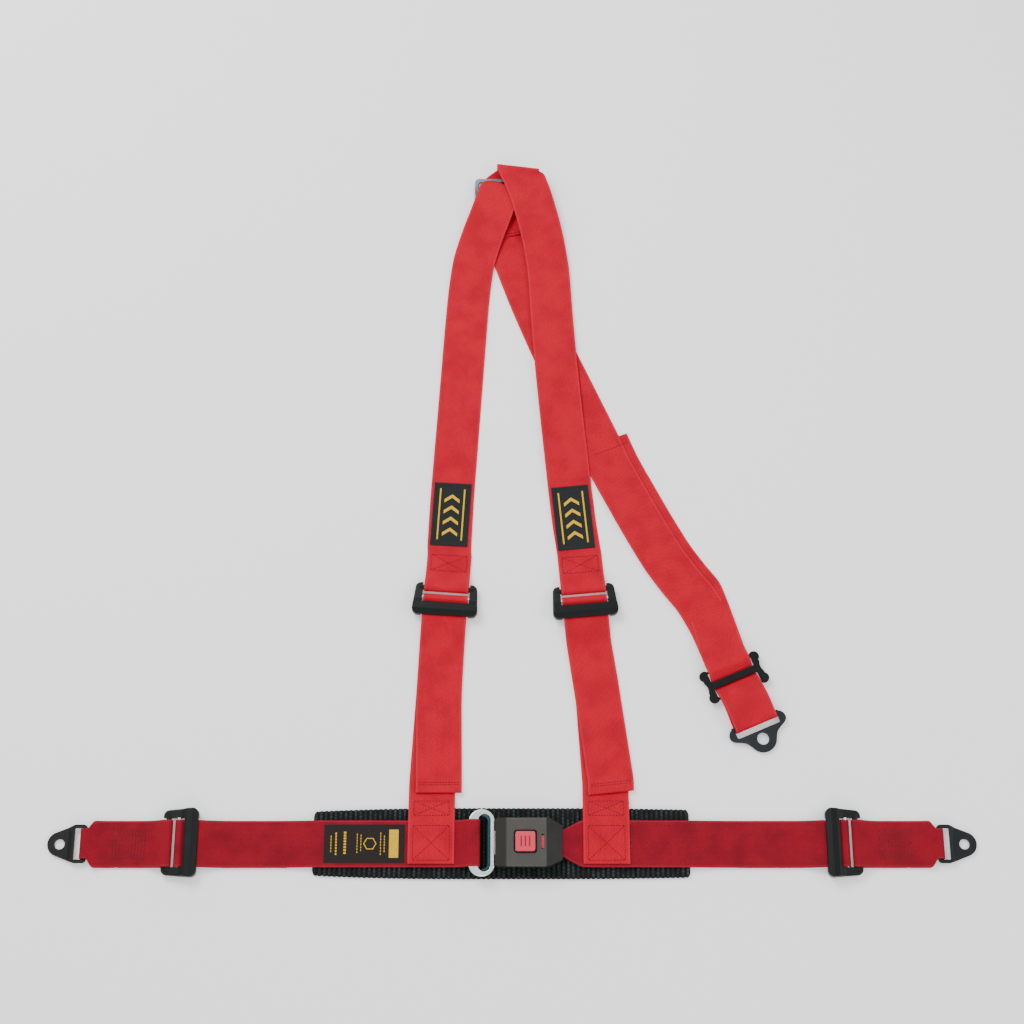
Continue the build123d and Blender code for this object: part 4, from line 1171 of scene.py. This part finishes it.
# place along the tag, width, and half the height of each row of dashes
rows = [(-36, 0.9, 9), (-31, 1.6, 12), (-22, 2.6, 11), (-8, 0.8, 10), (-4, 0.8, 8)]
rows += [(17, 0.9, 12), (21, 0.9, 9)]
for u, wide, reach in rows:
    v = -reach
    while v < reach:
        shapes += bar_shape(u, v, u + wide, v + DASH)
        v += DASH_PITCH
ring_marks = []
for k in range(6):
    a, b = math.pi * k / 3, math.pi * (k + 1) / 3
    corners = ((6.0, a), (7.0, a), (7.0, b), (6.0, b))
    ring_marks.append([(6 + r * math.cos(t), r * math.sin(t)) for r, t in corners])
marks = raised_marks("lap_tag_marks", on_tag, TAG_AT, 0, shapes + ring_marks, 0.12, YELLOW_THREAD)
marks.parent = tag
print("tag marks", len(shapes) + len(ring_marks))

# %% [markdown]
# ## Stitching
# Every loop and lap is held by heavy thread: a box with a cross inside it, or a dense block of
# bar tacks where the load is greatest. Each stitch is a short thread that dips into the webbing
# at both ends, so it is modelled as a small spindle lying on the cloth.

# %% One stitch and one seam
STITCH_LENGTH, STITCH_GAP, THREAD_R = 2.5, 0.7, 0.34
# a stitch's rings: share of its length, share of the thread's radius, height above the cloth
SPINDLE = (
    (-0.5, 0.25, -0.25),
    (-0.32, 0.85, 0.03),
    (0.0, 1.0, 0.08),
    (0.32, 0.85, 0.03),
    (0.5, 0.25, -0.25),
)
SIDES = 6
ZIGZAGS = 14  # in one row of bar tacks


def add_stitch(points, faces, tree, a, b):
    """A spindle of thread from plan point a to plan point b, in millimetres."""
    run = math.dist(a, b)
    along = Vector(((b[0] - a[0]) / run, (b[1] - a[1]) / run, 0.0))
    cross = Vector((-along.y, along.x, 0.0))
    base = len(points)
    for share, thick, lift in SPINDLE:
        x = (a[0] + b[0]) / 2 + along.x * share * run
        y = (a[1] + b[1]) / 2 + along.y * share * run
        z = top_of(tree, x, y, -5.0) + lift
        for k in range(SIDES):
            t = 2 * math.pi * k / SIDES
            raised = Vector((0, 0, math.sin(t) * THREAD_R * thick))
            offset = cross * (math.cos(t) * THREAD_R * thick) + raised
            points.append((Vector((x, y, z)) + offset) * MM)
    faces += tube_faces(base, len(SPINDLE), SIDES)
    faces.append(tuple(range(base + SIDES - 1, base - 1, -1)))
    last = base + (len(SPINDLE) - 1) * SIDES
    faces.append(tuple(range(last, last + SIDES)))


def seam(path, length=STITCH_LENGTH, gap=STITCH_GAP):
    """Ends of the stitches along a plan path."""
    stitches = []
    for a, b in zip(path, path[1:]):
        run = math.dist(a, b)
        count = max(1, round(run / (length + gap)))
        for k in range(count):
            s, e = (k + 0.12) / count, (k + 0.88) / count
            stitches.append(
                tuple((a[0] + (b[0] - a[0]) * t, a[1] + (b[1] - a[1]) * t) for t in (s, e))
            )
    return stitches


def placed(centre, angle, path):
    """A local path turned and moved to its place."""
    return [turned(centre, angle, u, v) for u, v in path]


def box_cross(half_u, half_v):
    """A box with a diagonal cross, as local paths."""
    a, b, c, d = (-half_u, -half_v), (half_u, -half_v), (half_u, half_v), (-half_u, half_v)
    return [[a, b, c, d, a], [a, c], [b, d]]


def block(half_u, half_v, pitch):
    """Rows of bar tacks close together, zigzagging."""
    paths = []
    sway = 0.35 * pitch
    count = round(2 * half_u / pitch)
    for k in range(count + 1):
        u = -half_u + k * pitch
        zig = [
            (u + (sway if j % 2 else -sway), -half_v + j * 2 * half_v / ZIGZAGS)
            for j in range(ZIGZAGS + 1)
        ]
        paths.append(zig)
    return paths


# %% Where the seams are
ANCHOR_SEAM_X = 410.0
SEAMS = []
for side, x in (("left", -ANCHOR_SEAM_X), ("right", ANCHOR_SEAM_X)):
    name, on, body = f"{side}_anchor_stitching", [f"{side}_anchor_webbing"], f"{side}_anchor_loop"
    SEAMS.append((name, on, body, (x, LAP_Y), 0, block(17, 17, 3.4)))
hem = [[(-22, 0), (22, 0)], [(-22, 2.6), (22, 2.6)]]
for side, (x, _, tail_x, tail_turn) in LOWER.items():
    on, body = [f"{side}_lower_webbing", f"{side}_lap_webbing"], SIDE_BODY[side]
    SEAMS.append((f"{side}_foot_stitching", on, body, (x, LAP_Y + 0.5), 0, box_cross(19.5, 18.5)))
    SEAMS.append((f"{side}_hem_stitching", on, body, (x, LAP_Y + 38.0), 0, box_cross(19.0, 8.0)))
    SEAMS.append((f"{side}_tail_stitching", on, body, (tail_x, LAP_Y + 64.0), tail_turn, hem))
LOOP_SEAM = 44.5  # from an adjuster to the middle of the seam that closes its loop
for side, body in SIDE_BODY.items():
    ax, ay, heading = ADJUSTERS[f"{side}_shoulder"]
    out = math.radians(heading)
    middle = (ax - LOOP_SEAM * math.cos(out), ay - LOOP_SEAM * math.sin(out))
    name, on = f"{side}_loop_stitching", [f"{side}_upper_webbing"]
    SEAMS.append((name, on, body, middle, heading + 90, box_cross(20.0, 9.5)))
for name, centre, angle, paths in (
    ("ring_loop_stitching", (-9.6, 350.0), 9, box_cross(19.0, 10.5)),
    ("ring_hem_stitching", (-7.9, 338.4), 12, [[(-22, 0), (22, 0)]]),
    ("rear_tail_stitching", (114.5, 60.0), 22, [[(-21, 0), (22, 0)]]),
):
    SEAMS.append((name, ["rear_webbing"], "rear_side", centre, angle, paths))
double_row = [[(0, -22), (0, 22)], [(2.0, -22), (2.0, 22)]]
on = ["right_lap_webbing"]
SEAMS.append(("buckle_loop_stitching", on, "buckle_side", (127.2, LAP_Y), 0, double_row))

# %% Sew them
for name, on, body, centre, angle, paths in SEAMS:
    tree = tree_of(*on)
    points, faces = [], []
    for path in paths:
        for a, b in seam(placed(centre, angle, path)):
            add_stitch(points, faces, tree, a, b)
    thread = mesh_piece(name, points, faces, RED_THREAD)
    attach(thread, body)
    print(name, len(faces) // (SIDES * 4 + 2), "stitches")

# %% [markdown]
# ## The button's bezel
# A black moulded bezel frames the red button. It is a rounded square ring that stands a little
# above the cover, with its own soft edges.

# %% Bezel
BEZEL_AT = (14.2, LAP_Y)


def bezel_ring(half, corner, z):
    """One rounded square of the bezel, at height z."""
    outline = outline_points(2 * half, 2 * half, corner)
    return [(BEZEL_AT[0] + u, BEZEL_AT[1] + v, z) for u, v in outline]


# half width, corner radius and height of each ring, from the outer foot to the inner foot
BEZEL_PROFILE = [
    (12.3, 3.6, 19.2),
    (12.3, 3.6, 20.8),
    (12.0, 3.4, 21.1),
    (11.4, 3.1, 21.1),
    (11.1, 2.9, 20.8),
    (11.1, 2.9, 19.2),
]
rings = [bezel_ring(*ring) for ring in BEZEL_PROFILE]
points = [tuple(c * MM for c in p) for loop in rings for p in loop]
count = len(rings[0])
faces = []
for i in range(len(rings)):
    j = (i + 1) % len(rings)
    for k in range(count):
        m = (k + 1) % count
        faces.append((i * count + k, i * count + m, j * count + m, j * count + k))
BEZEL_BLACK = moulded_finish("bezel_moulding", "08090a", "191b1c", 0.35)
bezel = mesh_piece("button_bezel", points, faces, BEZEL_BLACK)
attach(bezel, "buckle_side")
print("bezel points", len(points))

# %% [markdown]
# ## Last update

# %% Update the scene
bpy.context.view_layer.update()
